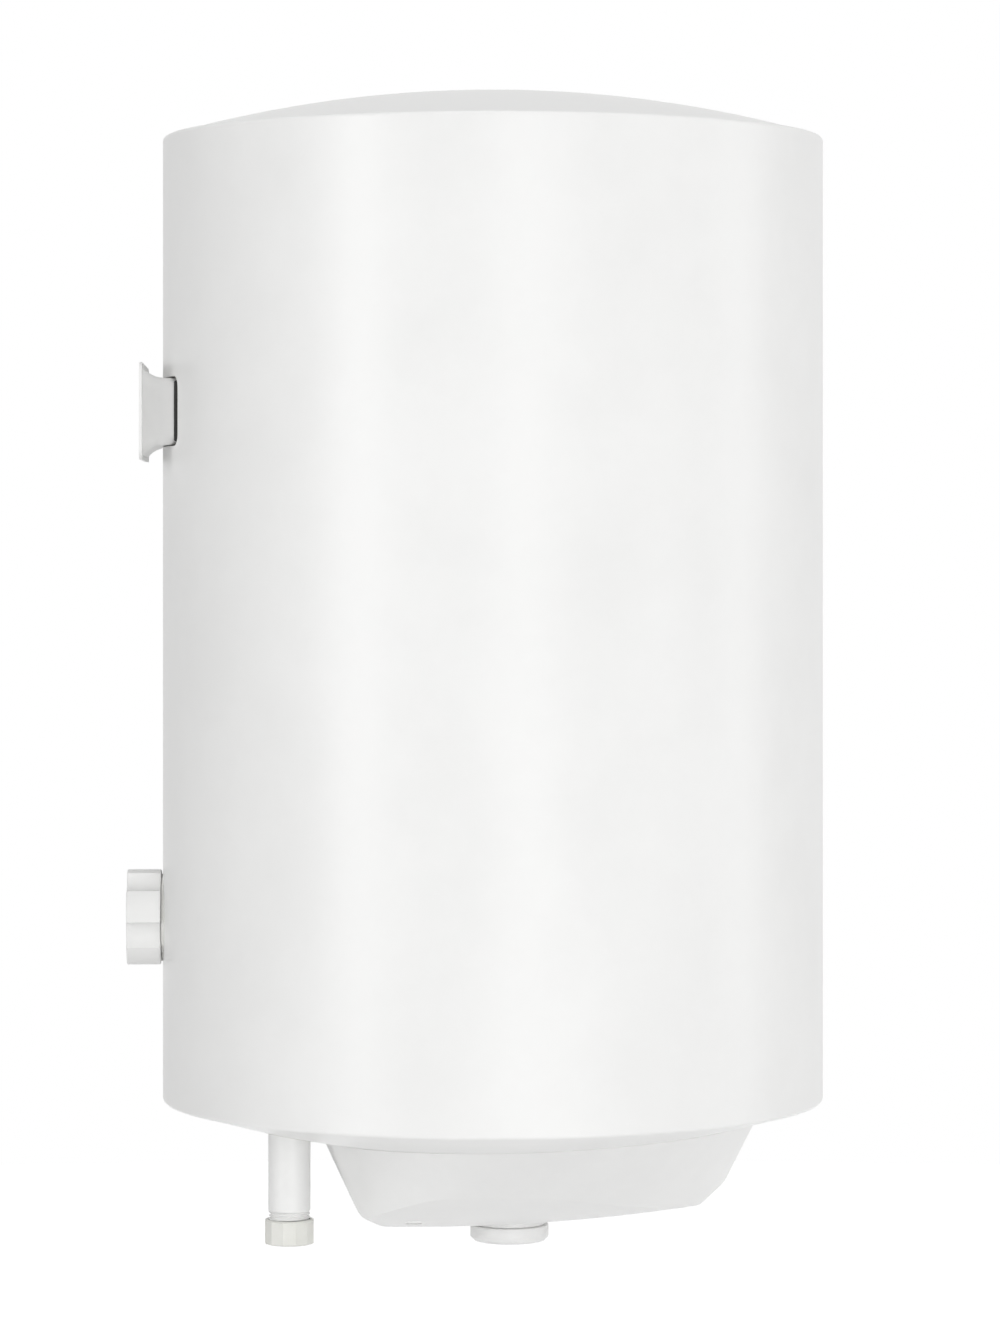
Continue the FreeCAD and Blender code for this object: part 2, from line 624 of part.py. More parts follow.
def make_flange():
    """Welded collar, gasket and heater flange at the bottom of the tank, with studs and nuts."""
    studs = ring_places("stud_circle", STUDS)
    top = "(collar_bottom + collar_height)"
    collar = turned(
        "flange_collar", tube_outline("neck_radius", "flange_radius", "collar_bottom", top)
    )
    seat = "collar_bottom + stud_seat"
    drill(collar, "stud_radius", studs, "collar_bottom", seat, "stud_seats")
    turned("flange_gasket", tube_outline("neck_radius", "gasket_radius", GASKET_LOW, "collar_bottom"))
    flange = turned("heater_flange", tube_outline("0", "flange_radius", FLANGE_LOW, GASKET_LOW))
    legs = [("element_spread", "element_y"), ("-element_spread", "element_y")]
    for name, radius, places in (
        ("stud_holes", "stud_radius + slide_gap", studs),
        ("element_holes", "element_radius", legs),
        ("pocket_hole", "pocket_radius", [("0", "pocket_y")]),
        ("anode_hole", "anode_stud_radius", [("0", "anode_y")]),
    ):
        drill(flange, radius, places, FLANGE_LOW, GASKET_LOW, name)
    nut_low = f"({FLANGE_LOW} - stud_nut_height)"
    group(
        "flange_studs",
        [cylinder("stud_radius", f"({nut_low} - stud_tail)", f"({seat})", x, y) for x, y in studs],
    )
    group(
        "flange_nuts",
        [
            cut(
                hexagon("stud_nut_size", nut_low, "stud_nut_height", x, y),
                cylinder("stud_radius", nut_low, FLANGE_LOW, x, y),
            )
            for x, y in studs
        ],
    )


def half_ring(bend, radius, x, y, z, axis, angle):
    """Half a torus, turned by an angle about an axis before it is placed."""
    ring = doc.addObject("Part::Torus", "half_ring")
    bind(ring, Radius1=bend, Radius2=radius)
    ring.Angle3 = 180
    ring.Placement.Rotation = FreeCAD.Rotation(FreeCAD.Vector(*axis), angle)
    place(ring, x, f"{AXIS_Y} + {y}", f"{RIM_Z} + {z}")
    return ring


def make_element():
    """Hairpin heating element through the flange, with a terminal on each leg."""
    low = f"({FLANGE_LOW} - element_tail)"
    legs = [
        cylinder("element_radius", low, "element_height", x, "element_y")
        for x in ("element_spread", "-element_spread")
    ]
    bend = half_ring(
        "element_spread", "element_radius", "0", "element_y", "element_height", (1, 0, 0), 90
    )
    add_node(fuse(*legs, bend), "heating_element")
    terminals = [
        cylinder("terminal_radius", f"({low} - terminal_length)", low, x, "element_y")
        for x in ("element_spread", "-element_spread")
    ]
    group("element_terminals", terminals)


def make_anode():
    """Magnesium rod on a stud, held by a nut under the flange."""
    stud_end = "(anode_bottom + stud_seat)"
    rod = turned(
        "anode_rod",
        tube_outline("0", "anode_radius", "anode_bottom", "anode_bottom + anode_length"),
        y=f"{AXIS_Y} + anode_y",
    )
    drill(rod, "anode_stud_radius", [("0", "0")], "anode_bottom", stud_end, "anode_thread")
    nut_low = f"({FLANGE_LOW} - anode_nut_height)"
    stud = cylinder("anode_stud_radius", f"({nut_low} - casing_wall)", stud_end, "0", "anode_y")
    add_node(stud, "anode_stud")
    nut = hexagon("anode_nut_size", nut_low, "anode_nut_height", "0", "anode_y")
    way = cylinder("anode_stud_radius", nut_low, FLANGE_LOW, "0", "anode_y")
    add_node(cut(nut, way), "anode_nut")


# ---------------------------------------------------------------- water pipes
def make_pipes():
    """Two threaded steel pipes, welded into the tank's lower head, with their inner fittings."""
    for label, (x, y) in zip(("hot_outlet_pipe", "cold_inlet_pipe"), PIPES):
        turned(
            label,
            [
                ("pipe_bore", "pipe_bottom"),
                ("thread_radius", "pipe_bottom"),
                ("thread_radius", "pipe_bottom + thread_length"),
                ("pipe_radius", "pipe_bottom + thread_length"),
                ("pipe_radius", "pipe_top"),
                ("pipe_bore", "pipe_top"),
            ],
            x,
            f"{AXIS_Y} + {y}",
        )
    (hot_x, hot_y), (cold_x, cold_y) = PIPES
    riser_top = f"{TANK_TOP} - riser_drop"
    turned(
        "hot_riser",
        tube_outline("pipe_radius", "pipe_radius + riser_wall", "pipe_top - riser_lap", riser_top),
        hot_x,
        f"{AXIS_Y} + {hot_y}",
    )
    low, high = "(pipe_top - diffuser_lap)", "(pipe_top - diffuser_lap + diffuser_height)"
    diffuser = turned(
        "inlet_diffuser",
        [
            ("pipe_radius", low),
            ("diffuser_radius", low),
            ("diffuser_radius", high),
            ("0", high),
            ("0", f"{high} - diffuser_wall"),
            ("pipe_radius", f"{high} - diffuser_wall"),
        ],
        cold_x,
        f"{AXIS_Y} + {cold_y}",
    )
    slots = sketch_on(diffuser, "XZ_Plane", "diffuser_slot_outline")
    half, sill, lintel = "pipe_bore / 2", "pipe_top + diffuser_wall", f"{high} - 2 * diffuser_wall"
    outline(slots, [(f"-{half}", sill), (half, sill), (half, lintel), (f"-{half}", lintel)])
    feature(diffuser, "Pocket", slots, "diffuser_slot", "diffuser_radius")
    middle = on_dish(PIPE_RADIAL)
    low, high = f"({middle} - seal_height / 2)", f"({middle} + seal_height / 2)"
    seals = []
    for x, y in PIPES:
        ring = cut(cylinder("seal_radius", low, high, x, y), cylinder("pipe_radius", low, high, x, y))
        ball = doc.addObject("Part::Sphere", "dish_ball")
        bind(ball, Radius=f"{DISH} + seal_proud")
        place(ball, z=f"{RIM_Z} - dish_depth + {DISH}")
        seals.append(common(ring, ball))
    group("pipe_seals", seals)


def make_thread_cap():
    """Twelve-sided plastic cap screwed on to the hot pipe's thread."""
    x, y = PIPES[0]
    shell = doc.addObject("Part::Prism", "thread_cap_outside")
    shell.Polygon = 12
    bind(shell, Circumradius="thread_cap_radius", Height="thread_cap_height")
    place(shell, x, f"{AXIS_Y} + {y}", f"{RIM_Z} + {CAP_LOW}")
    floor = f"({CAP_LOW} + thread_cap_floor)"
    bore = cylinder("thread_radius + slide_gap", floor, f"({CAP_LOW} + thread_cap_height)", x, y)
    add_node(cut(shell, bore), "hot_thread_cap")


# ---------------------------------------------------------------- wall bracket and spacer
def trunk_outline(sketch, margin):
    """The trunk's section, with a margin all round."""
    width, height = f"trunk_width + 2 * {margin}", f"trunk_height + 2 * {margin}"
    rounded_rectangle(sketch, width, height, f"trunk_corner + {margin}")


def flare_loft(body, kind, name, inset):
    """The arc that flares the trunk's end out to the plate, lofted through its sections."""
    sections = []
    for step in range(FLARE_STEPS + 1):
        rest = f"(flare_depth * {FLARE_STEPS - step} / {FLARE_STEPS})"
        margin = f"(flare_radius - sqrt(flare_radius^2 - {rest}^2) - ({inset}))"
        sketch = sketch_on(body, "XZ_Plane", f"{name}_flare_{step}")
        trunk_outline(sketch, margin)
        bind(sketch, AttachmentOffset__Base__z=f"plate_thickness + flare_depth - {rest}")
        sections.append(sketch)
    before = body.Shape.Volume if not body.Shape.isNull() else 0.0
    loft = body.newObject(kind, f"{name}_flare")
    loft.Profile = sections[0]
    loft.Sections = sections[1:]
    doc.recompute()
    if abs(body.Shape.Volume - before) < 1.0:
        raise ValueError(f"{name} has no flare")


def make_bracket():
    """Drawn steel trunk flared on to a keyhole plate, and the saddle that carries it."""
    plate = new_body("bracket_plate")
    sketch = sketch_on(plate, "XZ_Plane", "plate_outline")
    rounded_rectangle(sketch, "plate_width", "plate_height", "plate_corner")
    feature(plate, "Pad", sketch, "plate_pad", "plate_thickness")
    for side, sign in (("left", "-"), ("right", "")):
        middle = f"{sign}keyhole_spacing / 2"
        sketch = sketch_on(plate, "XZ_Plane", f"{side}_head_hole_outline")
        circle(sketch, "keyhole_radius", middle)
        feature(plate, "Pocket", sketch, f"{side}_head_hole", "plate_thickness", reverse=True)
        sketch = sketch_on(plate, "XZ_Plane", f"{side}_notch_outline")
        low, high = f"{middle} - notch_radius", f"{middle} + notch_radius"
        outline(sketch, [(low, "0"), (high, "0"), (high, "notch_rise"), (low, "notch_rise")])
        feature(plate, "Pocket", sketch, f"{side}_notch", "plate_thickness", reverse=True)
        sketch = sketch_on(plate, "XZ_Plane", f"{side}_notch_top_outline")
        circle(sketch, "notch_radius", middle, "notch_rise")
        feature(plate, "Pocket", sketch, f"{side}_notch_top", "plate_thickness", reverse=True)
    place(plate, "0", "0", "0")

    trunk = new_body("bracket_trunk")
    saddle_face = f"({TANK} + saddle_thickness)"
    reach = f"sqrt({saddle_face}^2 - (trunk_width / 2)^2)"
    length = f"casing_radius + stand_off - plate_thickness - {reach} - flare_depth"
    for kind, name, inset in (("Additive", "trunk", "0"), ("Subtractive", "trunk_hollow", "trunk_wall")):
        flare_loft(trunk, f"PartDesign::{kind}Loft", name, inset)
        sketch = sketch_on(trunk, "XZ_Plane", f"{name}_outline")
        trunk_outline(sketch, f"-({inset})")
        bind(sketch, AttachmentOffset__Base__z="plate_thickness + flare_depth")
        cutting = kind == "Subtractive"
        feature(trunk, "Pocket" if cutting else "Pad", sketch, f"{name}_run", length, reverse=cutting)
    sketch = sketch_on(trunk, "XY_Plane", "saddle_seat_outline")
    circle(sketch, saddle_face, "0", AXIS_Y)
    bind(sketch, AttachmentOffset__Base__z="-trunk_height")
    feature(trunk, "Pocket", sketch, "saddle_seat", "2 * trunk_height", reverse=True)
    place(trunk, "0", "0", "0")

    low, high = "(bracket_height - saddle_height / 2)", "(bracket_height + saddle_height / 2)"
    ring = cut(cylinder(saddle_face, low, high), cylinder(TANK, low, high))
    block = box("saddle_width", saddle_face, "saddle_height", "-saddle_width / 2", "0", low)
    add_node(common(ring, block), "bracket_saddle")


def rod_to_wall(radius, near, far):
    """A plain cylinder along Y at the spacer's height, measured from the tank's axis."""
    rod = doc.addObject("Part::Cylinder", "level_rod")
    bind(rod, Radius=radius, Height=f"({far}) - ({near})")
    rod.Placement.Rotation = FreeCAD.Rotation(FreeCAD.Vector(1, 0, 0), -90)
    place(rod, "0", f"{AXIS_Y} + {near}", f"{RIM_Z} + spacer_height")
    return rod


def make_spacer():
    """Scalloped plastic spacer on a stem that screws into a nut behind the casing."""
    far = f"(sqrt({INSIDE}^2 - nut_radius^2))"
    near = f"({far} - nut_length)"
    nut = cut(rod_to_wall("nut_radius", near, far), rod_to_wall("stem_radius + slide_gap", near, far))
    add_node(nut, "spacer_nut")
    bore = "(spacer_depth - stem_cover)"
    stem = rod_to_wall("stem_radius", f"({TANK} + stem_clearance)", f"({SPACER_FACE} + {bore} - slide_gap)")
    add_node(stem, "spacer_stem")

    puck = new_body("wall_spacer")
    sketch = sketch_on(puck, "XZ_Plane", "spacer_core_outline")
    circle(sketch, "spacer_radius")
    feature(puck, "Pad", sketch, "spacer_core", "spacer_depth", reverse=True)
    sketch = sketch_on(puck, "XZ_Plane", "scallop_outline")
    centre = "(spacer_radius - scallop_depth + scallop_radius)"
    angle = 90 - 180 / SCALLOPS
    circle(sketch, "scallop_radius", f"{centre} * cos({angle})", f"{centre} * sin({angle})")
    scallop = feature(puck, "Pocket", sketch, "scallop", "spacer_depth")
    pattern = repeat(puck, scallop, SCALLOPS, "XZ_Plane")
    depth = value("spacer_depth")
    rims = [
        f"Edge{i}"
        for i, edge in enumerate(puck.Shape.Edges, start=1)
        if edge.BoundBox.YLength < 1e-6 and min(abs(edge.CenterOfMass.y - end) for end in (0, depth)) < 1e-6
    ]
    rounding = puck.newObject("PartDesign::Fillet", "spacer_rims")
    rounding.Base = (pattern, rims)
    bind(rounding, Radius="spacer_round")
    doc.recompute()
    sketch = sketch_on(puck, "XZ_Plane", "spacer_bore_outline")
    circle(sketch, "stem_radius + running_gap")
    feature(puck, "Pocket", sketch, "spacer_bore", bore)
    place(puck, "0", f"{AXIS_Y} + {SPACER_FACE}", f"{RIM_Z} + spacer_height")


# ---------------------------------------------------------------- bottom cover
def cover_sizes(name, slope=0.0):
    """One of the cover's outlines as a list of numbers."""
    return [slope] + [value(f"{name}{key}") for key in ("", "_rear", "_front", "_half", "_corner", "_belly")]


def between(first, second, share):
    """The outline at a share of the way from one outline to another."""
    return [a + (b - a) * share for a, b in zip(first, second)]


def cover_outline(sizes, inset):
    """Wire of one outline: straight rear, round rear corners, straight sides, elliptic front."""
    slope, level, rear, front, half, corner, belly = sizes
    rear, front, half, corner = rear - inset, front - inset, half - inset, corner - inset
    spot = FreeCAD.Vector
    slant = corner * math.sqrt(0.5)
    right = Part.Arc(
        spot(half - corner, rear, 0),
        spot(half - corner + slant, rear - corner + slant, 0),
        spot(half, rear - corner, 0),
    ).toShape()
    left = Part.Arc(
        spot(-half, rear - corner, 0),
        spot(-half + corner - slant, rear - corner + slant, 0),
        spot(-half + corner, rear, 0),
    ).toShape()
    bow = Part.Arc(spot(1, 0, 0), spot(0, -1, 0), spot(-1, 0, 0)).toShape()
    stretch = FreeCAD.Matrix()
    stretch.scale(spot(half, front + belly, 1))
    stretch.move(spot(0, belly, 0))
    outline_edges = [
        Part.makeLine(spot(corner - half, rear, 0), spot(half - corner, rear, 0)),
        right,
        Part.makeLine(spot(half, rear - corner, 0), spot(half, belly, 0)),
        bow.transformGeometry(stretch),
        Part.makeLine(spot(-half, belly, 0), spot(-half, rear - corner, 0)),
        left,
    ]
    tilt = FreeCAD.Matrix()
    tilt.A32 = slope
    tilt.A34 = level
    return Part.Wire([edge.transformGeometry(tilt) for edge in outline_edges])


def cover_solid(inset):
    """The cover's bowl and its crowned bottom, moved in by an inset on every side but the top."""
    top = cover_sizes("cover_top")
    edge = cover_sizes("cover_edge", value("cover_edge_slope"))
    bottom = cover_sizes("cover_bottom")
    over = between(edge, top, value("cover_bend"))
    under = between(edge, bottom, value("cover_bend"))
    shares = [step / BEND_STEPS for step in range(BEND_STEPS + 1)]
    bend = [between(between(over, edge, t), between(edge, under, t), t) for t in shares]
    bowl = Part.makeLoft([cover_outline(sizes, inset) for sizes in (top, *bend, bottom)], True, True)
    long, cross = value("crown_long"), value("crown_cross")
    centre = FreeCAD.Vector(0, value("crown_middle"), value("crown_low") + long)
    crown = Part.makeTorus(long - cross, cross - inset, centre, FreeCAD.Vector(1, 0, 0))
    return bowl.common(crown)


def upright(radius, low, high, x="0", y="0"):
    """A plain cylinder shape in the cover's own frame."""
    start = FreeCAD.Vector(value(x), value(y), value(low))
    return Part.makeCylinder(value(radius), value(high) - value(low), start)


def screw_seat(x, y):
    """Height of the face that a cover screw's head draws up against."""
    return f"({on_crown(x, y)} + screw_sink + screw_head_height)"


def boss_top(x, y):
    """Height of the boss round a cover screw."""
    return f"({screw_seat(x, y)} + boss_floor)"


def make_cover():
    """Plastic bowl under the bottom cap, with screw bosses and holes for what passes through."""
    shell = cover_solid(0.0).cut(cover_solid(value("cover_wall")))
    for x, y in SCREWS:
        root = f"{on_crown(x, y)} + screw_sink"
        shell = shell.fuse(upright("boss_radius", root, boss_top(x, y), x, y))
    for x, y in SCREWS:
        seat = screw_seat(x, y)
        shell = shell.cut(upright("screw_head + slide_gap", "cover_bottom", seat, x, y))
        shell = shell.cut(upright("screw_radius + slide_gap", seat, boss_top(x, y), x, y))
    for radius, x, y in (
        ("spindle_hole", "0", "-control_y"),
        ("grommet_radius", "0", "grommet_y"),
        ("lens_radius", "lamp_x", "-control_y"),
    ):
        shell = shell.cut(upright(radius, "cover_bottom", f"{on_crown(x, y)} + 2 * cover_wall", x, y))
    ball = value(DISH)
    centre = FreeCAD.Vector(0, 0, ball - value("dish_depth"))
    shell = shell.cut(Part.makeSphere(ball + value("cover_gap"), centre))
    cover = doc.addObject("Part::Feature", "bottom_cover")
    cover.Shape = shell.removeSplitter()
    place(cover)
    add_node(cover, "bottom_cover")


def make_cover_fixings():
    """Three posts on the bottom cap, and the screws that draw the cover up to them."""
    posts, screws = [], []
    for x, y in SCREWS:
        low, seat = f"({boss_top(x, y)} + post_gap)", screw_seat(x, y)
        shank = f"({seat} + screw_length)"
        reach = f"(sqrt(({x})^2 + ({y})^2) - post_radius)"
        post = cylinder("post_radius", low, on_dish(reach), x, y)
        posts.append(cut(post, cylinder("screw_radius", low, shank, x, y)))
        head = cylinder("screw_head", f"({seat} - screw_head_height)", seat, x, y)
        screws.append(fuse(head, cylinder("screw_radius", seat, shank, x, y)))
    group("cover_posts", posts)
    group("cover_screws", screws)
    seat = f"({on_crown('grommet_flange', 'grommet_y')} + cover_wall)"
    low = on_crown("0", "grommet_y")
    turned(
        "cable_grommet",
        [
            ("grommet_bore", low),
            ("grommet_radius", low),
            ("grommet_radius", seat),
            ("grommet_flange", seat),
            ("grommet_flange", f"{low} + grommet_height"),
            ("grommet_bore", f"{low} + grommet_height"),
        ],
        y=f"{AXIS_Y} + grommet_y",
    )


# ---------------------------------------------------------------- thermostat and controls
def make_thermostat():
    """Rod thermostat: a pocket in the tank, a probe in the pocket and a body under the flange."""
    r, w, top = "pocket_radius", "pocket_wall", "pocket_height"
    turned(
        "thermostat_pocket",
        [
            (f"{r} - {w}", FLANGE_LOW),
            (r, FLANGE_LOW),
            (r, top),
            ("0", top),
            ("0", f"{top} - {w}"),
            (f"{r} - {w}", f"{top} - {w}"),
        ],
        y=f"{AXIS_Y} + pocket_y",
    )
    add_node(cylinder("probe_radius", "control_top", "probe_top", "0", "pocket_y"), "thermostat_probe")
    body = new_body("thermostat_body")
    sketch = sketch_on(body, "XY_Plane", "thermostat_outline")
    rounded_rectangle(sketch, "control_width", "control_depth", "control_round")
    bind(sketch, AttachmentOffset__Base__z=CONTROL_LOW)
    feature(body, "Pad", sketch, "thermostat_pad", "control_height")
    seat = f"({CONTROL_LOW} + spindle_seat)"
    drill(body, "spindle_radius + running_gap", [("0", "0")], CONTROL_LOW, seat, "spindle_bearing")
    depth = "(button_length - button_proud + button_travel + slide_gap)"
    place_of_button = [("button_x", "control_y - button_y")]
    guide = f"({CONTROL_LOW} + {depth})"
    drill(body, "button_radius + slide_gap", place_of_button, CONTROL_LOW, guide, "button_guide")
    place(body, y=f"{AXIS_Y} - control_y")
    low = f"({CONTROL_LOW} - button_proud)"
    button = cylinder("button_radius", low, f"({low} + button_length)", "button_x", "-button_y")
    add_node(button, "reset_button")


def make_knob():
    """Fluted temperature knob pressed on to the thermostat's spindle."""
    r, w, c = "knob_radius", "knob_wall", "knob_chamfer"
    hollow = f"{KNOB_LOW} + {c} + {w}"
    knob = turned(
        "temperature_knob",
        [
            ("0", KNOB_LOW),
            (f"{r} - {c}", KNOB_LOW),
            (r, f"{KNOB_LOW} + {c}"),
            (r, KNOB_HIGH),
            (f"{r} - {w}", KNOB_HIGH),
            (f"{r} - {w}", hollow),
            ("knob_hub", hollow),
            ("knob_hub", KNOB_HIGH),
            ("spindle_radius", KNOB_HIGH),
            ("spindle_radius", f"{KNOB_LOW} + {w}"),
            ("0", f"{KNOB_LOW} + {w}"),
        ],
        y=f"{AXIS_Y} - control_y",
    )
    rim = "knob_radius + flute_radius - flute_depth"
    flute = drill(knob, "flute_radius", [(rim, "0")], KNOB_LOW, KNOB_HIGH, "knob_flute")
    repeat(knob, flute, FLUTES)
    top = f"({CONTROL_LOW} + spindle_seat - slide_gap)"
    spindle = cylinder("spindle_radius", f"({KNOB_LOW} + {w})", top, "0", "-control_y")
    add_node(spindle, "thermostat_spindle")


def make_wiring():
    """Terminal block on the thermostat's back, its screws, the leads, the lamp and the earth screw."""
    near, middle = "(control_depth / 2 - control_y)", "(control_depth / 2 - control_y + block_depth / 2)"
    block = box(
        "block_width", "block_depth", "block_height", "-block_width / 2", near, CONTROL_LOW
    )
    top = f"({CONTROL_LOW} + block_height / 2)"
    screws = []
    for step in (-1, 0, 1):
        x = f"({step} * block_screw_pitch)"
        block = cut(block, cylinder("block_screw_radius", CONTROL_LOW, top, x, middle))
        low = f"({CONTROL_LOW} - casing_wall)"
        screws.append(cylinder("block_screw_radius", low, top, x, middle))
    add_node(block, "terminal_block")
    group("terminal_screws", screws)
    bend_z = f"({FLANGE_LOW} - element_tail - terminal_length / 2 - lead_bend)"
    leads = [
        half_ring("lead_bend", "lead_radius", x, "element_y + terminal_radius", bend_z, (0, 1, 0), -90)
        for x in ("element_spread", "-element_spread")
    ]
    group("internal_leads", leads)
    lamp = cylinder("lamp_radius", LAMP_LOW, f"{LAMP_LOW} + lamp_height", "lamp_x", "-control_y")
    add_node(lamp, "power_lamp")
    low = on_crown("lamp_x - lens_radius", "-control_y")
    add_node(cylinder("lens_radius", low, LAMP_LOW, "lamp_x", "-control_y"), "lamp_lens")
    root = on_dish("(earth_x - earth_radius)")
    shank = cylinder("earth_radius", f"({root} - earth_length)", root, "earth_x", "0")
    head = hexagon(
        "anode_nut_size", f"({root} - earth_length)", "anode_nut_height", "earth_x", "0"
    )
    add_node(fuse(shank, head), "earth_screw")


# ---------------------------------------------------------------- build, check and write
make_casing()
make_end_caps()
make_insulation()
make_tank()
make_flange()
make_element()
make_anode()
make_pipes()
make_thread_cap()
make_bracket()
make_spacer()
make_cover()
make_cover_fixings()
make_thermostat()
make_knob()
make_wiring()
doc.recompute()

for thing in doc.Objects:
    if "Invalid" in thing.State or "Error" in thing.State:
        raise ValueError(f"{thing.Label} failed: {thing.State}")
for thing in nodes:
    if thing.Shape.isNull() or not thing.Shape.isValid():
        raise ValueError(f"{thing.Label} has no valid shape")

os.makedirs("parts", exist_ok=True)
for thing in nodes:
    thing.Shape.exportStep(f"parts/{thing.Label}.step")
    spread = thing.Shape.BoundBox
    print(f"{thing.Label}: {len(thing.Shape.Solids)} solids, {thing.Shape.Volume:.1f} mm3,", end=" ")
    print(f"z {spread.ZMin:.1f} to {spread.ZMax:.1f}")
print(f"{len(nodes)} nodes")
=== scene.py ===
import math

import bpy
from mathutils import Matrix, Vector


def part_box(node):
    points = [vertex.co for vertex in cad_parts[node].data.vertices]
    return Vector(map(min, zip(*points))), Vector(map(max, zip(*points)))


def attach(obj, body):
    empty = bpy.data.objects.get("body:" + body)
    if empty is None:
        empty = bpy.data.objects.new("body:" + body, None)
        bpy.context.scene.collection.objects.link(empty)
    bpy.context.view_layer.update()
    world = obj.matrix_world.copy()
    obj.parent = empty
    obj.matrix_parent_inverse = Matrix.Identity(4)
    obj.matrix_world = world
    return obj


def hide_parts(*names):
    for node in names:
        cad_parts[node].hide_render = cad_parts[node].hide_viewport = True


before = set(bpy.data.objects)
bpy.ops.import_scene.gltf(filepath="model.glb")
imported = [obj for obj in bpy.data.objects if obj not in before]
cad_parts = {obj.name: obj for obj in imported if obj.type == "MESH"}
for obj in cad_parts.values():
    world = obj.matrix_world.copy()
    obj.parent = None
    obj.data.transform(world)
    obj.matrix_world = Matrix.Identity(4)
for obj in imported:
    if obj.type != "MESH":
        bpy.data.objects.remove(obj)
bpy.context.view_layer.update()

# ---------------------------------------------------------------- camera
# The heater hangs on a wall and is seen from its left side, level and from well back.
# The line of sight meets the tank's axis and leans a little towards the wall side.
casing_low, casing_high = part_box("outer_casing")
tank_axis = (casing_low + casing_high) / 2
casing_radius = (casing_high.x - casing_low.x) / 2

view_distance = 13.9 * casing_radius
view_height = 1.728 * casing_radius
view_turn = math.radians(2.5)
view_lens, view_sensor = 123.56, 36.0
view_shift_x, view_shift_y = 0.0053, -0.1036
camera_data = bpy.data.cameras.new("side_view")
camera_data.sensor_fit = "VERTICAL"
camera_data.sensor_height = view_sensor
camera_data.lens = view_lens
camera_data.shift_x = view_shift_x
camera_data.shift_y = view_shift_y
camera = bpy.data.objects.new("side_view", camera_data)
camera.location = (
    tank_axis.x - view_distance * math.cos(view_turn),
    tank_axis.y + view_distance * math.sin(view_turn),
    casing_low.z + view_height,
)
camera.rotation_euler = (math.pi / 2, 0.0, -math.pi / 2 - view_turn)
bpy.context.scene.collection.objects.link(camera)
bpy.context.scene.camera = camera

# ---------------------------------------------------------------- tank
# A rolled steel shell between two dished heads, welded, and lined and coated with glass enamel.
# The enamel is fired on dark blue, with a fine speckle and a soft gloss.


def linear(code):
    """An sRGB hex colour as the linear RGBA that shader sockets take."""
    parts = [int(code[i : i + 2], 16) / 255 for i in (1, 3, 5)]
    return (*((p / 12.92 if p <= 0.04045 else ((p + 0.055) / 1.055) ** 2.4) for p in parts), 1.0)


def per_metre(size_mm):
    """How many times a pattern of this size in millimetres repeats in a metre."""
    return 1000.0 / size_mm


def add_node(tree, kind, values=None, links=None, **properties):
    """Adds a shader node with its properties, its input values and its input links."""
    made = tree.nodes.new(kind)
    for name, setting in properties.items():
        setattr(made, name, setting)
    for socket, number in (values or {}).items():
        made.inputs[socket].default_value = number
    for socket, source in (links or {}).items():
        tree.links.new(source, made.inputs[socket])
    return made


def finish_material(name, light, dark, mottle_mm, rough, grain_mm, depth_mm, metallic=0.0):
    """A finish whose colour wanders between two shades and whose surface has a fine grain: its
    pattern sizes and the depth of its grain are in millimetres."""
    material = bpy.data.materials.new(name)
    material.use_nodes = True
    tree = material.node_tree
    shader = tree.nodes["Principled BSDF"]
    place = add_node(tree, "ShaderNodeTexCoord").outputs["Object"]
    mottle = add_node(
        tree,
        "ShaderNodeTexNoise",
        {"Scale": per_metre(mottle_mm), "Detail": 4.0, "Roughness": 0.6},
        {"Vector": place},
    )
    shades = add_node(tree, "ShaderNodeValToRGB", links={"Fac": mottle.outputs["Fac"]})
    low, high = shades.color_ramp.elements
    low.position, high.position = 0.35, 0.65
    low.color, high.color = linear(dark), linear(light)
    tree.links.new(shades.outputs["Color"], shader.inputs["Base Color"])
    sheen = add_node(
        tree,
        "ShaderNodeMapRange",
        {"From Min": 0.3, "From Max": 0.7, "To Min": rough * 0.9, "To Max": rough * 1.1},
        {"Value": mottle.outputs["Fac"]},
    )
    tree.links.new(sheen.outputs["Result"], shader.inputs["Roughness"])
    grain = add_node(
        tree,
        "ShaderNodeTexNoise",
        {"Scale": per_metre(grain_mm), "Detail": 2.0},
        {"Vector": place},
    )
    bump = add_node(
        tree,
        "ShaderNodeBump",
        {"Strength": 1.0, "Distance": depth_mm / 1000.0},
        {"Height": grain.outputs["Fac"]},
    )
    tree.links.new(bump.outputs["Normal"], shader.inputs["Normal"])
    shader.inputs["Metallic"].default_value = metallic
    return material


def coat(material, *names):
    """Gives CAD nodes a finish in place of their plain one."""
    for name in names:
        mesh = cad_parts[name].data
        mesh.materials.clear()
        mesh.materials.append(material)


glass_enamel = finish_material(
    "dark_glass_enamel", "#3A465C", "#2B3548", 6.0, 0.28, 1.6, 0.02
)
coat(glass_enamel, "tank_shell", "tank_upper_head", "tank_lower_head")

# ---------------------------------------------------------------- flange
# A thick collar of dull grey hot-rolled steel is welded in the lower head. A zinc-plated flange
# closes it on a dull black rubber gasket, clamped by six studs and nuts.
rolled_steel = finish_material(
    "hot_rolled_steel", "#8C8A86", "#6F6C68", 9.0, 0.48, 0.8, 0.03, metallic=1.0
)
zinc_plate = finish_material(
    "zinc_plated_steel", "#C9C8C2", "#A8A89F", 4.0, 0.34, 0.5, 0.008, metallic=1.0
)
black_rubber = finish_material("black_rubber", "#242424", "#191919", 3.0, 0.72, 0.6, 0.02)
coat(rolled_steel, "flange_collar", "bracket_saddle")
coat(zinc_plate, "heater_flange", "flange_studs", "flange_nuts")
coat(black_rubber, "flange_gasket", "internal_leads")

